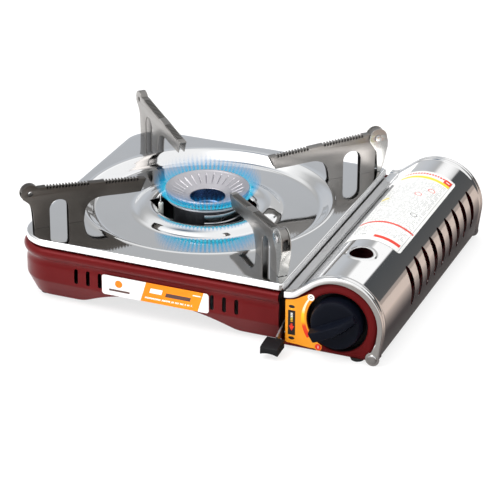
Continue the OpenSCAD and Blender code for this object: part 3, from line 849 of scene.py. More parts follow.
def make_burner_throat():
    """Sleeve seen through the head's middle, with a floor that has four oval air passages."""
    line = [(15.9, 2.1), (15.9, -10), (0.01, -10), (0.01, -9.2), (14.2, -9.2), (15.1, -8.4), (15.4, -7.4),
            (15.4, 2.1), (15.9, 2.1)]
    throat = lathe("burner_throat", line, BURNER_TOP, "Z", 96)
    passages = []
    for k in range(4):
        a = math.radians(40 + 90 * k)
        oval = [(4.2 * math.cos(t), 2.6 * math.sin(t)) for t in turns(32)]
        spun = [(BURNER.x + 8.6 * math.cos(a) - u * math.sin(a) + v * math.cos(a),
                 BURNER.y + 8.6 * math.sin(a) + u * math.cos(a) + v * math.sin(a)) for u, v in oval]
        passages.append(prism("passage", spun, TOP - 12, TOP - 8, "Z"))
    cut(throat, *passages)
    # The blue of its steel is painted light from the flames.
    return place(throat, "case", None, (), 30, MATERIALS["throat_steel_painted_flame_light"])


def make_burner_cup():
    line = smooth_line([(29.6, 1.9), (30, 1.2), (30, -14), (29.6, -20), (27, -27), (22, -33), (4, -33.5)], 6)
    inner = [(4, -31), (22, -30.6), (25, -26), (27.2, -19), (27.4, -10), (27.4, 1.2), (27.8, 1.9)]
    cup = lathe("burner_bowl", line + inner + [line[0]], BURNER_TOP, "Z", 120)
    return place(cup, "case", "cast_cup", ["burner_cup"])


def make_burner_band():
    line = [(31.1, -2.2), (31.2, -2.6), (31.2, -9.2), (31.7, -9.8), (31.6, -10), (30.3, -10), (30.15, -9.6),
            (30.15, -2.6), (30.3, -2.2), (31.1, -2.2)]
    band = lathe("burner_collar_band", line, BURNER_TOP, "Z", 180)
    start, end = (math.radians(a) for a in (-72, 118))
    wedge = [(0, 0)] + [(60 * math.cos(a), 60 * math.sin(a)) for a in
                        [end + (start + 2 * math.pi - end) * k / 12 for k in range(13)]]
    wedge = prism("wedge", [(BURNER.x + x, BURNER.y + y) for x, y in wedge], TOP - 12, TOP, "Z")
    cut(band, wedge)
    return place(band, "case", "burner_steel", ["burner_band"])


def make_electrode():
    top = electrode_hi.z
    low = electrode_lo.z
    line = [(0.9, low), (1.9, low), (2.2, low + 0.4)]
    line += smooth_line([(2.2, TOP - 21.2), (3.0, TOP - 20.9), (3.2, TOP - 20.4), (3.2, TOP - 17.6),
                         (3.0, TOP - 17.1), (2.2, TOP - 16.8)], 3)
    line += [(2.2, top - 1.0), (2.05, top - 0.35), (1.6, top), (0.9, top), (0.9, low)]
    ceramic = lathe("electrode_insulator", line, ELECTRODE, "Z", 40)
    place(ceramic, "case", "electrode_ceramic", ["electrode_ceramic"], 40)
    inward = Vector((BURNER.x - ELECTRODE.x, BURNER.y - ELECTRODE.y)).normalized()
    bend = TOP + 5
    path = [(0, TOP - 6), (0, bend - 2)] + [(1.4 * (1 - math.cos(a)), bend - 2 + 1.9 * math.sin(a))
                                            for a in (0.4, 0.8, 1.2, 1.5)] + [(3.4, bend)]
    rows = []
    for k, (out, z) in enumerate(path):
        a, b = path[max(k - 1, 0)], path[min(k + 1, len(path) - 1)]
        along = Vector((inward.x * (b[0] - a[0]), inward.y * (b[0] - a[0]), b[1] - a[1])).normalized()
        side = Vector((-inward.y, inward.x, 0))
        other = along.cross(side)
        centre = Vector((ELECTRODE.x + inward.x * out, ELECTRODE.y + inward.y * out, z))
        r = 0.7 if k < len(path) - 1 else 0.45
        rows.append([centre + (side * math.cos(t) + other * math.sin(t)) * r
                     for t in turns(14)])
    tip = close_ends(grid_object("electrode_wire", rows, wrap_u=True))
    place(tip, "case", "pin_steel", ["electrode_tip"], 50)


# ---------- flames ----------

def flame_material():
    m, tree, s = new_material("gas_flame")
    u, v, _ = position(tree, "UV")
    lobe = ((u * (2 * math.pi)).math("COSINE") * 0.5 + 0.5).math("POWER", 1.5)
    body = (1.0 - v).math("POWER", 1.3)
    base = v.smooth(0.0, 0.10)
    ragged = Field(tree, noise(tree, object_coords(tree), 90.0, 2.0))
    alpha = body * base * (lobe * 0.85 + 0.15) * (ragged * 0.9 + 0.35) * 1.05
    tree.links.new(alpha.clamped().value, s.inputs["Alpha"])
    glow = ramp(tree, v.value, [(0.0, (0.25, 0.85, 0.95)), (0.25, (0.01, 0.44, 0.62)),
                                (0.6, (0.0, 0.34, 0.66)), (1.0, (0.0, 0.26, 0.78))])
    tree.links.new(glow, s.inputs["Emission Color"])
    s.inputs["Emission Strength"].default_value = 1.1
    s.inputs["Base Color"].default_value = (0.0, 0.02, 0.06, 1)
    s.inputs["Roughness"].default_value = 1.0
    s.inputs["Specular IOR Level"].default_value = 0.0
    return m


def make_flames():
    """Four thin skirts of flame, one inside the other, that leave the ports and turn up round the rim."""
    parts = []
    for shell in range(4):
        spread = shell / 3
        reach = 2.4 + 5.8 * spread
        height = 9.5 + 6.5 * spread
        line = smooth_line([(HEAD_R - 1.2, 6.6), (HEAD_R + 0.5 + 0.35 * reach, 7.6),
                            (HEAD_R + 1.2 + 0.75 * reach, 9.8 + 0.15 * height),
                            (HEAD_R + 1.6 + reach, 9.8 + 0.5 * height),
                            (HEAD_R + 1.0 + reach, 8.6 + height)], 5)
        segments = 8 * PORTS
        angles = [2 * math.pi * k / segments for k in range(segments + 1)]
        rows = [[round_burner(r, a, z) for a in angles] for r, z in line]
        skirt = grid_object("flame_skirt", rows)
        add_uv(skirt, segments + 1, lambda i, j: (j * PORTS / segments, i / (len(line) - 1)))
        parts.append(skirt)
    flames = join("gas_flames", parts)
    place(flames, "case", None, (), 180, flame_material())
    flames.visible_shadow = False


# ---------- canister cover ----------

def cover_line(grow=0.0, step=1.4):
    """The section's line over the arch, down the shoulder and round to the strip, grown outwards by grow."""
    end = math.radians(LEFT_END)
    out, down = Vector((math.cos(end), math.sin(end))), Vector((-math.sin(end), math.cos(end)))
    centre = Vector((ARCH.x, ARCH.z)) + out * (ARCH_R + BLEND_R) + down * SHOULDER
    top = arc(ARCH.x, ARCH.z, ARCH_R + grow, -8, LEFT_END, step)
    blend = arc(centre.x, centre.y, BLEND_R - grow, LEFT_END - 180, -90, 3)
    start, stop = Vector(top[-1]), Vector(blend[0])
    return top + [tuple(start.lerp(stop, k / 10)) for k in range(1, 10)] + blend


def cover_outline():
    """The sheet's section from the hinge over the arch to the strip: points, outward normals, arc lengths."""
    start = cover_line()
    foot = (HINGE.x + 5, HINGE.z + 1)
    pts = [(foot[0] + (start[0][0] - foot[0]) * k / 14, foot[1] + (start[0][1] - foot[1]) * k / 14)
           for k in range(14)]
    pts += start
    strip = cover_lo.x
    x_end, z_end = pts[-1]
    pts += [(x_end + (strip - x_end) * k / 10, z_end) for k in range(1, 11)]
    out, length = [], 0.0
    for k, p in enumerate(pts):
        a, b = pts[max(k - 1, 0)], pts[min(k + 1, len(pts) - 1)]
        d = Vector((b[0] - a[0], b[1] - a[1])).normalized()
        if k:
            length += math.dist(p, pts[k - 1])
        out.append((Vector(p), Vector((d.y, -d.x)), length))
    return out


BEAD = 0.8
COVER_EDGE = [
    (-0.35, -4.4), (-1.1, -4.4), (-1.45, -4.15), (-1.5, -3.8), (-1.5, -2.0), (-1.5, -0.35), (-1.4, 0.15),
    (-1.05, 0.6), (-0.5, BEAD), (0.4, BEAD), (1.3, BEAD - 0.05), (1.75, 0.45), (2.15, 0.35), (2.55, 0.45),
    (3.0, BEAD - 0.05), (3.8, BEAD), (4.8, BEAD), (5.5, 0.62), (6.1, 0.2), (6.8, 0.0)]
SLOT_FIRST = 76.2
SLOT_PITCH = 20.35
SLOTS = 9
SLOT_HALF = 4.3
SLOT_Z = 38.2
SLOT_RISE = 17.6
WINDOW = (293, 53.5, 10)


def window_rim(x, y):
    """How far the outer face stands out for the window's rolled rim."""
    d = math.hypot(x - WINDOW[0], y - WINDOW[1]) - WINDOW[2]
    return 0.6 * math.exp(-((d - 1.3) / 1.4) ** 2) if d < 5 else 0.0


def make_cover():
    outline = cover_outline()
    ys = [y for y, _ in COVER_EDGE]
    edges = [g for _, g in COVER_EDGE]
    inner_start, inner_end = COVER_EDGE[-1][0], COVER_D - COVER_EDGE[-1][0]
    count = round((inner_end - inner_start) / 1.15)
    middle = [inner_start + (inner_end - inner_start) * k / count for k in range(1, count)]
    stations = list(zip(ys, edges)) + [(y, 0.0) for y in middle]
    stations += [(COVER_D - y, g) for y, g in reversed(COVER_EDGE)]
    rows = []
    for y, g in stations:
        row = []
        for p, n, _ in outline:
            extra = window_rim(p.x, y) if g == 0.0 and p.y > TOP else 0.0
            q = p + n * (g + extra)
            row.append((q.x, y, q.y))
        rows.append(row)
    cover = recalc(solidify(grid_object("polished_cover", rows), THIN_SHEET, inward_offset(rows, 40, 60)))
    cutters = []
    for k in range(SLOTS):
        y0 = SLOT_FIRST + k * SLOT_PITCH
        right = []
        for i in range(25):
            t = math.pi * (i / 24 - 0.5)
            z = SLOT_RISE * math.copysign(abs(math.sin(t)) ** 0.8, math.sin(t))
            half = SLOT_HALF * math.sqrt(1 - min(1.0, abs(z / SLOT_RISE)) ** 3.2)
            right.append((y0 + half, SLOT_Z + z))
        left = [(2 * y0 - y, z) for y, z in reversed(right)][1:-1]
        cutters.append(prism("slot", right + left, ARCH.x + 14, ARCH.x + 50, "X"))
    cutters.append(prism("window", arc(WINDOW[0], WINDOW[1], WINDOW[2], 0, 352.5, 7.5), TOP, TOP + 30, "Z"))
    cut(cover, *cutters)
    tabs = []
    for y0, y1 in ((-1.45, -0.4), (COVER_D + 0.4, COVER_D + 1.45)):
        p, n, _ = outline[2]
        q = outline[9][0]
        ring = arc(HINGE.x, HINGE.z, 6, 100, 372, 8)
        top = [tuple(p + n * 0.5), tuple(q + n * 0.5), tuple(q - n * 4.2)]
        tab = bevel(prism("tab", ring + top, y0, y1), 0.25, 2)
        hole = prism("pin_hole", arc(HINGE.x, HINGE.z, 2.56, 0, 345, 15), y0 - 2, y1 + 2)
        tabs.append(cut(tab, hole))
    cover = join("cover_shell", [cover] + tabs)
    return place(cover, "cover", "mirror_cover", ["canister_cover"], 34)


def inward_offset(rows, i, j):
    """The offset that thickens a grid towards the canister, judged at one of its upper quads."""
    a, b, d = Vector(rows[i][j]), Vector(rows[i][j + 1]), Vector(rows[i + 1][j])
    return -1.0 if (b - a).cross(d - a).z > 0 else 1.0


def make_cover_label():
    outline = cover_outline()
    lo, hi = local_box("cover_label")
    low_end = ARCH.x + ARCH_R * math.cos(math.radians(50))
    inside = [(p, n, t) for p, n, t in outline if ARCH.x - 25 <= p.x <= low_end and p.y > ARCH.z + 20]
    t0, t1 = inside[0][2], inside[-1][2]
    corner = 2.5
    n_y = 60
    rows, uvs = [], []
    for i in range(n_y + 1):
        y = lo.y + (hi.y - lo.y) * i / n_y
        row, uv = [], []
        for p, n, t in inside:
            from_side = min(t - t0, t1 - t)
            pull = max(0.0, corner - from_side)
            squeeze = corner - math.sqrt(max(corner ** 2 - pull ** 2, 0.0))
            yy = min(max(y, lo.y + squeeze), hi.y - squeeze)
            q = p + n * 0.22
            row.append((q.x, yy, q.y))
            uv.append((t - t0, yy - lo.y))
        rows.append(row)
        uvs.append(uv)
    label = grid_object("cover_sticker", rows)
    add_uv(label, len(inside), lambda i, j: uvs[i][j])
    label = solidify(label, 0.1, inward_offset(rows, 5, 5))
    printed = cover_print(t1 - t0, hi.y - lo.y)
    return place(label, "cover", "cover_label_print", ["cover_label"], 60, printed)


# ---------- end plates ----------

def end_plate_outline(x0):
    """Outline of the red end plates, anticlockwise seen from the front, starting at the lower left corner."""
    line = cover_line(-5, 3)
    return [(x0, FOOT_Z), (318, FOOT_Z), (HINGE.x - 0.4, HINGE.z + 6)] + line + [(x0, line[-1][1])]


def reach_of(outline, cx, cz, angle):
    """Distance from a point inside an outline to the outline in a direction."""
    dx, dz = math.cos(angle), math.sin(angle)
    best = 1e9
    for (ax, az), (bx, bz) in zip(outline, outline[1:] + outline[:1]):
        ex, ez = bx - ax, bz - az
        den = dx * ez - dz * ex
        if abs(den) < 1e-9:
            continue
        t = ((ax - cx) * ez - (az - cz) * ex) / den
        s = ((ax - cx) * dz - (az - cz) * dx) / den
        if t > 0 and -1e-6 <= s <= 1 + 1e-6:
            best = min(best, t)
    return best


def round_knob(r, angle, y):
    """A point at a distance and in a direction from the knob's axis, at depth y."""
    return (KNOB.x + r * math.cos(angle), y, KNOB.z + r * math.sin(angle))


def make_panel():
    outline = end_plate_outline(PANEL_X0)
    corners = [math.atan2(z - KNOB.z, x - KNOB.x) for x, z in outline]
    angles = sorted({round(a % (2 * math.pi), 5) for a in corners}
                    | {round(2 * math.pi * k / 240, 5) for k in range(240)})
    inner = 26.0
    edge = 5.5
    rows = []
    for r, y in ((inner, 3.2), (inner, 1.6), (inner + 0.35, 0.7), (inner + 1.0, 0.2), (inner + 1.9, 0.0)):
        rows.append([round_knob(r, a, y) for a in angles])
    reaches = [reach_of(outline, KNOB.x, KNOB.z, a) for a in angles]
    start = inner + 1.9
    steps = 8
    for k in range(1, steps + 1):
        rows.append([round_knob(start + (max(reach - edge, start) - start) * k / steps, a, 0.0)
                     for a, reach in zip(angles, reaches)])
    for k in range(1, steps + 1):
        t = math.radians(90 * k / steps)
        row = []
        for a, reach in zip(angles, reaches):
            flat = max(reach - edge, start)
            row.append(round_knob(flat + (reach - flat) * math.sin(t), a, 3.2 * (1 - math.cos(t))))
        rows.append(row)
    rows.append([round_knob(reach, a, 3.8) for a, reach in zip(angles, reaches)])
    panel = grid_object("control_fascia", rows, wrap_u=True)
    panel = recalc(solidify(panel, THIN_SHEET, 1.0 if faces_front(panel) < 0 else -1.0))
    return place(panel, "case", "case_paint", ["control_panel"], 40)


def faces_front(obj):
    """Positive if the sheet's own normals point to the front."""
    obj.data.update()
    return -sum(p.normal.y * p.area for p in obj.data.polygons)


def make_rear_plate():
    outline = end_plate_outline(local_box("rear_end_plate")[0].x)
    plate = cut_sheet("rear_fascia", outline, [arc(HINGE.x, HINGE.z, 2.5, 0, 345, 15)], 1.2, 0.4)
    upright = Matrix.Rotation(math.radians(90), 4, "X")
    plate.data.transform(Matrix.Translation((0, COVER_D - 0.6, 0)) @ upright)
    return place(plate, "case", "case_paint", ["rear_end_plate"], 30)


# ---------- controls ----------

def make_knob():
    front, back = -7.0, knob_hi.y
    line = smooth_line([(3, front + 0.2), (8, front + 0.15), (14, front), (18.2, front),
                        (19.8, front + 0.15)], 3)
    line += smooth_line([(20.5, front + 0.6), (21.1, front + 1.9), (21.6, front + 3.6), (21.9, front + 5.4),
                         (KNOB_R, front + 7.5), (KNOB_R, back - 1.2), (KNOB_R - 0.5, back - 0.3),
                         (KNOB_R - 1.3, back)], 3)
    line += [(18, back), (3, back), (3, front + 0.2)]
    base = lathe("knob_base", line, KNOB, "Y", 144)
    top = knob_lo.y
    half_length = KNOB_R - 1.0
    rows = []
    n = 40
    for k in range(n + 1):
        s = -1 + 2 * k / n
        x = s * half_length
        rise = (front - top) * (1 - 0.10 * s * s if s > 0 else 1 - 0.52 * abs(s) ** 2.2)
        w = 4.1 + 0.5 * s if s > 0 else 4.1 + 1.7 * s
        bow = 1.9 * (1 - s * s)
        flare = 1.6 + 0.8 * (1 - abs(s))
        profile = [(-w - flare, -0.8), (-w - flare, 0.0), (-w - 0.5 * flare, 0.30 * rise),
                   (-w - 0.1 * flare, 0.72 * rise), (-w + 0.25, 0.93 * rise), (-w + 1.1, rise),
                   (0, 1.02 * rise), (w - 1.1, rise), (w - 0.25, 0.93 * rise), (w + 0.1 * flare, 0.72 * rise),
                   (w + 0.5 * flare, 0.30 * rise), (w + flare, 0.0), (w + flare, -0.8)]
        rows.append([(x, front - h, v + bow) for v, h in profile])
    grip = bevel(close_ends(grid_object("grip", rows, wrap_u=True)), 0.7, 3, 55)
    limit = prism("limit", arc(0, 0, KNOB_R + 0.2, 0, 357.5, 2.5), top - 0.1, front + 2)
    cut(grip, limit, operation="INTERSECT")
    turn = Matrix.Translation((KNOB.x, 0, KNOB.z)) @ Matrix.Rotation(-math.radians(POINTER), 4, "Y")
    grip.data.transform(turn)
    cut(base, grip, operation="UNION")
    base.name = "control_knob"
    return place(base, "knob_body", "knob_plastic", ["knob"], 28)


def make_lever_cap():
    lo, hi = local_box("lever_cap")
    n = 16
    rows = []
    for k in range(n + 1):
        t = -1 + 2 * k / n
        x = (lo.x + hi.x) / 2 + t * (hi.x - lo.x) / 2
        sag = 1.5 * (1 - t * t)
        dip = 0.5 * (1 - t * t)
        rows.append([(x, lo.y, lo.z + 0.2 + sag), (x, lo.y + 0.3, hi.z - 2.2 - dip),
                     (x, lo.y + 3.5, hi.z - 1.3 - dip), (x, hi.y - 5, hi.z - 0.3 - dip), (x, hi.y, hi.z),
                     (x, hi.y, lo.z + 1.2), (x, hi.y - 5, lo.z + 1.0 + sag * 0.6),
                     (x, lo.y + 4, lo.z + 0.3 + sag * 0.8)])
    cap = bevel(close_ends(grid_object("lever_thumb_pad", rows, wrap_u=True)), 0.55, 3, 30)
    return place(cap, "lock_lever", "black_plastic", ["lever_cap"], 35)


# ---------- stickers ----------

def make_front_label():
    lo, hi = local_box("front_label")
    r = 2.5
    outline = (arc(hi.x - r, lo.z + r, r, -90, 0, 15) + arc(hi.x - r, hi.z - r, r, 0, 90, 15)
               + arc(lo.x + r, hi.z - r, r, 90, 180, 15) + arc(lo.x + r, lo.z + r, r, 180, 270, 15))
    label = bevel(prism("front_sticker", outline, lo.y, lo.y + 0.35), 0.08, 1)
    return place(label, "case", "front_label_print", ["front_label"], material=front_print(lo))


def make_control_label():
    lo, _ = local_box("control_label")
    rim = 26.5
    left = 247.5
    outline = [(left, TOP - 50.2), (left + 1.2, TOP - 51.3), (258, TOP - 51.8), (268, TOP - 52.6)]
    outline += arc(276.2, TOP - 50.6, 3.4, 215, 375, 15)
    start = math.degrees(math.atan2(TOP - 48.4 - KNOB.z, 279.6 - KNOB.x)) % 360
    outline += arc(KNOB.x, KNOB.z, rim, start, 144, 3)
    outline += arc(269.4, TOP - 6.9, 3.3, -20, 130, 15)
    outline += smooth_line([(262.5, TOP - 6.9), (256, TOP - 10.6), (250, TOP - 12.1), (left, TOP - 12.6)], 3)
    label = prism("control_sticker", outline, lo.y, lo.y + 0.15)
    return place(label, "case", "control_label_print", ["control_label"], material=control_print())


def tile_noise(tree, *fields):
    """A random number from 0 to 1 for each cell of whole-number coordinates."""
    n = tree.nodes.new("ShaderNodeTexWhiteNoise")
    n.noise_dimensions = "3D"
    join_xyz = tree.nodes.new("ShaderNodeCombineXYZ")
    for socket, f in zip(join_xyz.inputs, fields):
        tree.links.new(f.value, socket)
    tree.links.new(join_xyz.outputs[0], n.inputs["Vector"])
    return Field(tree, n.outputs["Value"])


def rows_of_marks(tree, u, v, pitch, mark, share=0.62, height=0.55):
    """Rows of small random ticks, which stand for small print without being letters."""
    row = (v / pitch).math("FLOOR")
    cell = (u / mark).math("FLOOR")
    random = tile_noise(tree, cell, row, row * 0.37)
    in_row = (v / pitch).math("FRACT").less(height)
    in_cell = (u / mark).math("FRACT").less(0.72)
    return random.less(share) * in_row * in_cell


def finish_print(tree, shader, colour, rough=0.42):
    tree.links.new(colour, shader.inputs["Base Color"])
    fine = noise(tree, object_coords(tree), 1500.0, 2.0)
    tree.links.new(map_range(tree, fine, rough - 0.05, rough + 0.06), shader.inputs["Roughness"])
    shader.inputs["Specular IOR Level"].default_value = 0.16
    add_bump(tree, shader, fine, 0.03, 0.0001)


def front_print(lo):
    m, tree, s = new_material("front_label_print")
    x, _, z = position(tree)
    h = z - lo.z
    u = x - lo.x
    slanted = u - h * 0.30
    tone = noise(tree, object_coords(tree), 30.0, 2.0)
    card = ramp(tree, tone, [(0.3, (0.80, 0.80, 0.79)), (0.7, (0.88, 0.88, 0.87))])
    amber = ramp(tree, tone, [(0.3, (0.90, 0.24, 0.008)), (0.7, (0.95, 0.29, 0.012))])
    white, dark, orange = (0.92, 0.91, 0.88), (0.10, 0.055, 0.05), (0.90, 0.22, 0.01)
    finish_print(tree, s, paint(
        tree, card,
        (amber, slanted.more(35.4) * slanted.less(87.6)),
        (white, box_mask(slanted, h, 46.5, 11.2, 11.0, 4.4)),
        (dark, box_mask(slanted, h, 67.0, 9.6, 22.5, 3.6)),
        (white, box_mask(slanted, h, 60.0, 4.0, 44.0, 1.7)
         * rows_of_marks(tree, slanted, h, 1.7, 1.1, 0.8, 0.9)),
        (white, box_mask(slanted, h, 82.5, 14.2, 7.0, 1.0)),
        (orange, disc_mask(u, h, 15.5, 11.4, 3.4)),
        (dark, box_mask(u, h, 16.0, 5.0, 19.0, 1.9))))
    return m


def control_print():
    m, tree, s = new_material("control_label_print")
    x, _, z = position(tree)
    dx, dz = x - KNOB.x, z - KNOB.z
    r = (dx * dx + dz * dz).math("SQRT")
    turn = (dz * -1).math("ARCTAN2", dx * -1) * (180 / math.pi)
    tone = noise(tree, object_coords(tree), 40.0, 2.0)
    amber = ramp(tree, tone, [(0.3, (0.78, 0.28, 0.016)), (0.7, (0.86, 0.34, 0.022))])
    along = (turn + 36.0) / 72.0
    heat = ramp(tree, along.value, [
        (0.0, (0.90, 0.86, 0.72)), (0.30, (0.88, 0.80, 0.50)), (0.42, (0.80, 0.62, 0.03)),
        (0.62, (0.86, 0.42, 0.01)), (0.72, (0.75, 0.06, 0.015)), (1.0, (0.70, 0.03, 0.015))])
    band = (r - 29.6).abs().less(along.clamped() * 1.5 + 0.6) * along.more(0.0) * along.less(1.0)
    black, white = (0.02, 0.018, 0.018), (0.90, 0.89, 0.86)
    red, yellow = (0.72, 0.04, 0.02), (0.80, 0.62, 0.04)
    top_x, top_z = 269.6, TOP - 6.6
    low_x, low_z = 276.4, TOP - 50.6
    cx, cz = 253.0, TOP - 32.6
    ticks = box_mask(x, z, cx, cz + 5.0, 1.9, 8.6) * (z / 1.45).math("FRACT").less(0.66)
    tick_tone = ramp(tree, ((z - (cz + 0.7)) / 8.6).value, [
        (0.0, (0.80, 0.30, 0.02)), (0.35, (0.82, 0.68, 0.05)), (0.6, (0.85, 0.84, 0.80))])
    fall = z - (cz - 7.6)
    arrow = (x - cx).abs().less(fall * 0.52) * fall.less(4.6) * fall.more(0.0)
    stem = box_mask(x, z, cx, cz - 2.0, 1.7, 2.2)
    ovals = [(black, disc_mask(x, (z - (cz + up)) * 1.9, cx, 0.0, 2.7)) for up in (14.6, -14.2)]
    finish_print(tree, s, paint(
        tree, amber,
        (heat, band),
        (white, disc_mask(x, z, top_x, top_z, 2.9)),
        (black, ring_mask(x, z, top_x, top_z, 1.3, 0.8)),
        (red, disc_mask(x, z, low_x, low_z, 2.8)),
        (white, box_mask(x, z, low_x, low_z, 0.5, 2.4)),
        (black, box_mask(x, z, cx, cz, 6.4, 22.5)),
        (tick_tone, ticks),
        (red, (arrow + stem).clamped()),
        *ovals,
        (yellow, disc_mask(x, z, cx, cz + 12.4, 0.55))))
    return m


def cover_print(across, along):
    """Print of the cover's sticker: u runs over the arch, v from the front to the back, in millimetres."""
    m, tree, s = new_material("cover_label_print")
    u, v, _ = position(tree, "UV")
    tone = noise(tree, object_coords(tree), 22.0, 3.0)
    card = ramp(tree, tone, [(0.25, (0.62, 0.63, 0.62)), (0.75, (0.80, 0.80, 0.78))])
    pale, dark, white = (0.34, 0.35, 0.36), (0.16, 0.16, 0.17), (0.84, 0.84, 0.82)
    red, yellow = (0.62, 0.05, 0.03), (0.68, 0.56, 0.04)
    half = across / 2
    inner = u.more(4.2) * u.less(across - 3.0) * v.more(15.0) * v.less(along - 16.0)
    rings = [(ink, ring_mask(u, v, *at, 3.2, 2.5))
             for ink, at in ((red, (13.0, 118.0)), (red, (21.0, 104.0)), (dark, (12.0, 66.0)))]
    finish_print(tree, s, paint(
        tree, card,
        (pale, rows_of_marks(tree, u, v, 2.3, 1.15, 0.55, 0.50) * inner),
        (white, box_mask(u, v, half, 33.0, across, 2.5)),
        (yellow, box_mask(u, v, half, along - 13.0, across - 6, 4.4)),
        (red, rows_of_marks(tree, u, v - 1.2, 7.6, 2.6, 0.86, 0.62)
         * box_mask(u, v, half + 3, along - 6.4, across - 14, 5.4)),
        (red, box_mask(u, v, 6.4, along - 7.0, 7.4, 7.6)),
        (white, box_mask(u, v, 6.4, along - 7.0, 3.4, 1.2)),
        (red, box_mask(u, v, half, 37.5, across - 2, 2.8)),
        (red, box_mask(u, v, across * 0.30, 9.0, across * 0.46, 4.6)),
        (dark, box_mask(u, v, across * 0.74, 11.5, 9.0, 3.4) * rows_of_marks(tree, u, v, 1.7, 1.2, 0.7, 0.7)),
        (yellow, box_mask(u, v, across - 5.0, 92.0, 8.0, 3.4)),
        *rings,
        (pale, (u - 2.6).abs().less(0.22))), 0.30)
    return m


# ---------- small pieces ----------

def make_feet():
    parts = []
    top = local_box("rubber_feet")[1].z
    for x, y in ((20, 20), (20, PLATE_D - 20), (308.5, 6.2), (308.5, COVER_D - 14)):
        line = [(1.4, 1.0), (2.0, 0.6), (2.2, 0.1), (2.6, 0.0), (4.9, 0.0), (5.4, 0.15), (5.6, 0.6),
                (6.2, 2.2), (6.45, top - 0.3), (6.3, top), (1.4, top), (1.4, 1.0)]
        parts.append(lathe("foot", line, (x, y, 0), "Z", 48))
    feet = join("foot_pads", parts)
    return place(feet, "case", "foot_rubber", ["rubber_feet"])


def make_hinge_rivets():
    parts = []
    for y, side in ((0.0, -1), (COVER_D, 1)):
        head = smooth_line([(4.2, 1.75), (4.15, 2.1), (3.6, 2.55), (2.4, 2.82), (1.1, 2.9), (0.01, 2.9)], 3)
        line = [(0.01, -2.0), (2.3, -2.0), (2.5, -1.7), (2.5, 1.7)] + head
        rivet = lathe("rivet", [(r, y + side * h) for r, h in line], HINGE, "Y", 48)
        parts.append(rivet)
    rivets = join("cover_rivets", parts)
    return place(rivets, "case", "pin_steel", ["cover_hinge_rivets"])


CARRIED = {
    "plated_sheet": ["base_pan", "partition", "burner_bracket", "electrode_holder", "regulator_bracket",
                     "canister_cradle", "canister_yoke", "lever_arm"],
    "burner_steel": ["mixing_tube"],
    "case_paint": ["bay_tray"],
    "black_plastic": ["knob_recess", "piezo_igniter"],
    "jet_brass": ["gas_jet"],
    "pipe_copper": ["gas_pipe"],
    "lead_cover": ["ignition_lead"],
    "cast_zinc": ["gas_regulator"],
    "pin_steel": ["yoke_guides", "lever_pivot", "bracket_screws", "knob_spindle", "igniter_plunger"],
    "cam_plastic": ["igniter_cam"],
}


def dress_cad_nodes():
    for slot, nodes in CARRIED.items():
        for name in nodes:
            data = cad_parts[name].data
            data.materials.clear()
            data.materials.append(MATERIALS[slot])


# ---------- studio ----------

def make_floor():
    rows = [[(-8 + 16 * i / 8, -8 + 16 * j / 8, cad_lo.z) for i in range(9)] for j in range(9)]
    floor = grid_object("studio_floor", rows)
    m, tree, s = new_material("pale_floor")
    x, _, _ = position(tree)
    pale = ramp(tree, noise(tree, object_coords(tree), 2.0, 2.0), [(0.3, grey(0.86)), (0.7, grey(0.88))])
    # Floor colour seen only in reflections, by X: painted reflection, pale grey, then darker grey, a
    # near-black band of painted shadow of the stove's foot near X 322 to 340, then beige.
    painted_reflection = paint(tree, grey(0.88), ((0.22, 0.21, 0.20), x.smooth(205, 250)),
                     ((0.07, 0.06, 0.06), x.smooth(322, 338)), ((0.40, 0.33, 0.29), x.smooth(340, 430)))
    light = tree.nodes.new("ShaderNodeLightPath")
    colour = paint(tree, pale, (grey(0.26), Field(tree, light.outputs["Is Camera Ray"])),
                   (painted_reflection, Field(tree, light.outputs["Is Glossy Ray"])))
    tree.links.new(colour, s.inputs["Base Color"])
    tree.links.new(light.outputs["Is Camera Ray"], s.inputs["Emission Strength"])
    s.inputs["Emission Color"].default_value = (0.74, 0.74, 0.74, 1)
    s.inputs["Roughness"].default_value = 0.9
    s.inputs["Specular IOR Level"].default_value = 0.1
    floor.data.materials.append(m)


def blob(tree, direction, aim, tight):
    """A soft round glow of the world about a direction."""
    dot = tree.nodes.new("ShaderNodeVectorMath")
    dot.operation = "DOT_PRODUCT"
    tree.links.new(direction, dot.inputs[0])
    dot.inputs[1].default_value = Vector(aim).normalized()
    return Field(tree, dot.outputs["Value"]).math("MAXIMUM", 0.0).math("POWER", tight)


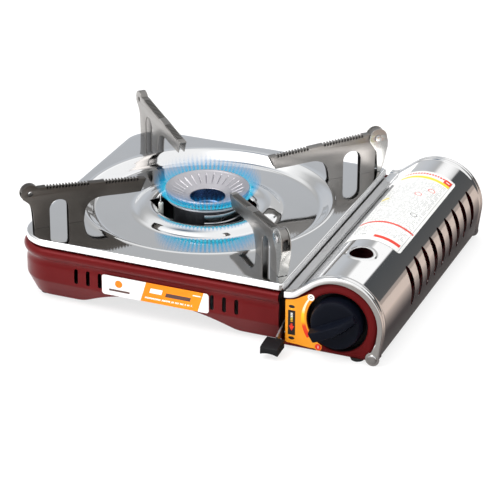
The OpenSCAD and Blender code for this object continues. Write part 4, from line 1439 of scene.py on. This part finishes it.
def make_world():
    """A pale tent: grey low down at the back left, a dark panel low down at the back right, white above."""
    world = bpy.data.worlds.new("studio")
    bpy.context.scene.world = world
    world.use_nodes = True
    tree = world.node_tree
    background = first_node(tree, "BACKGROUND")
    coords = tree.nodes.new("ShaderNodeTexCoord")
    split = tree.nodes.new("ShaderNodeSeparateXYZ")
    tree.links.new(coords.outputs["Generated"], split.inputs[0])
    x, y, z = (Field(tree, s) for s in split.outputs)
    height = z.math("ARCSINE") * (180 / math.pi)
    side = x / (x * x + y * y + 1e-6).math("SQRT")
    rise = (height / 90).value
    left = ramp(tree, rise, [
        (0.0, (0.62, 0.63, 0.65)), (0.20, (0.56, 0.585, 0.62)), (0.26, (0.50, 0.515, 0.54)),
        (0.30, (0.47, 0.475, 0.48)), (0.35, grey(0.52)), (0.45, grey(0.90)), (0.62, grey(1.05)),
        (1.0, grey(1.0))])
    right = ramp(tree, rise, [
        (0.0, (0.42, 0.35, 0.31)), (0.045, (0.40, 0.34, 0.31)), (0.055, grey(0.10)),
        (0.33, (0.075, 0.08, 0.085)), (0.345, grey(1.0)), (1.0, grey(1.0))])
    between = ramp(tree, rise, [(0.0, grey(0.55)), (0.28, grey(0.60)), (0.32, grey(1.1)), (1.0, grey(1.0))])
    front = ramp(tree, rise, [(0.0, (0.72, 0.71, 0.70)), (0.25, grey(0.80)), (0.5, grey(1.0)),
                              (1.0, grey(1.0))])
    light = tree.nodes.new("ShaderNodeLightPath")
    colour = paint(
        tree, left,
        (between, side.smooth(-0.24, -0.16)),
        (right, side.smooth(0.23, 0.26)),
        (front, (y * -1).smooth(-0.10, 0.25)),
        ((7.0, 6.8, 6.7), blob(tree, coords.outputs["Generated"], (-0.35, -0.42, 0.83), 26)),
        ((0.08, 0.13, 0.20), blob(tree, coords.outputs["Generated"], (-0.34, 0.30, 0.89), 70)),
        (grey(1.0), Field(tree, light.outputs["Is Camera Ray"])))
    tree.links.new(colour, background.inputs["Color"])
    background.inputs["Strength"].default_value = 1.0


def add_area(name, place_at, aim, size, power, colour=(1, 1, 1)):
    data = bpy.data.lights.new(name, "AREA")
    data.shape = "RECTANGLE"
    data.size, data.size_y = size
    data.energy = power
    data.color = colour
    lamp = link(data, name)
    lamp.visible_glossy = False
    lamp.location = place_at
    lamp.rotation_mode = "QUATERNION"
    lamp.rotation_quaternion = (Vector(aim) - Vector(place_at)).to_track_quat("-Z", "Y")


def make_lights():
    add_area("key_softbox", (-1.1, -1.4, 1.9), (0, 0, 0.03), (1.2, 1.2), 12)
    add_area("back_softbox", (-0.6, 2.0, 1.7), (0, 0, 0.05), (1.6, 0.9), 11)
    add_area("side_softbox", (2.0, -0.6, 1.2), (0.05, 0, 0.03), (1.0, 1.2), 5)
    data = bpy.data.lights.new("overhead", "SUN")
    data.energy = 0.9
    data.angle = math.radians(60)
    lamp = link(data, "overhead")
    lamp.rotation_euler = (math.radians(8), math.radians(-6), 0)
    lamp.visible_glossy = False


def make_camera():
    azimuth, elevation, roll = (math.radians(a) for a in (22.22, 25.605, 0.26))
    distance = 2.0215
    target = CORNER + Vector((189.45, 56.14, TOP)) * MM
    back = Vector((math.sin(azimuth) * math.cos(elevation), -math.cos(azimuth) * math.cos(elevation),
                   math.sin(elevation)))
    right = Vector((math.cos(azimuth), math.sin(azimuth), 0))
    up = back.cross(right)
    tilted_right = right * math.cos(roll) + up * math.sin(roll)
    tilted_up = up * math.cos(roll) - right * math.sin(roll)
    data = bpy.data.cameras.new("photo_camera")
    data.sensor_width = 36
    data.lens = 176.05
    data.clip_start, data.clip_end = 0.05, 60
    camera = link(data, "photo_camera")
    camera.matrix_world = Matrix.Translation(target + back * distance) @ Matrix(
        (tilted_right, tilted_up, back)).transposed().to_4x4()
    bpy.context.scene.camera = camera


# ---------- build ----------

make_case()
make_drip_plate()
make_trivet("trivet_front_right", -45)
make_trivet("trivet_rear_right", 45)
make_trivet("trivet_rear_left", 135)
make_trivet("trivet_front_left", 225)
make_guard("pan_guard_front", "front_guard", -45)
make_guard("pan_guard_rear", "rear_guard", 45)
make_guard_pins()
make_burner_head()
make_burner_throat()
make_burner_cup()
make_burner_band()
make_electrode()
make_flames()
make_cover()
make_cover_label()
make_panel()
make_rear_plate()
make_knob()
make_lever_cap()
make_front_label()
make_control_label()
make_feet()
make_hinge_rivets()
dress_cad_nodes()
make_floor()
make_world()
make_lights()
make_camera()
bpy.context.scene.view_settings.view_transform = "Standard"
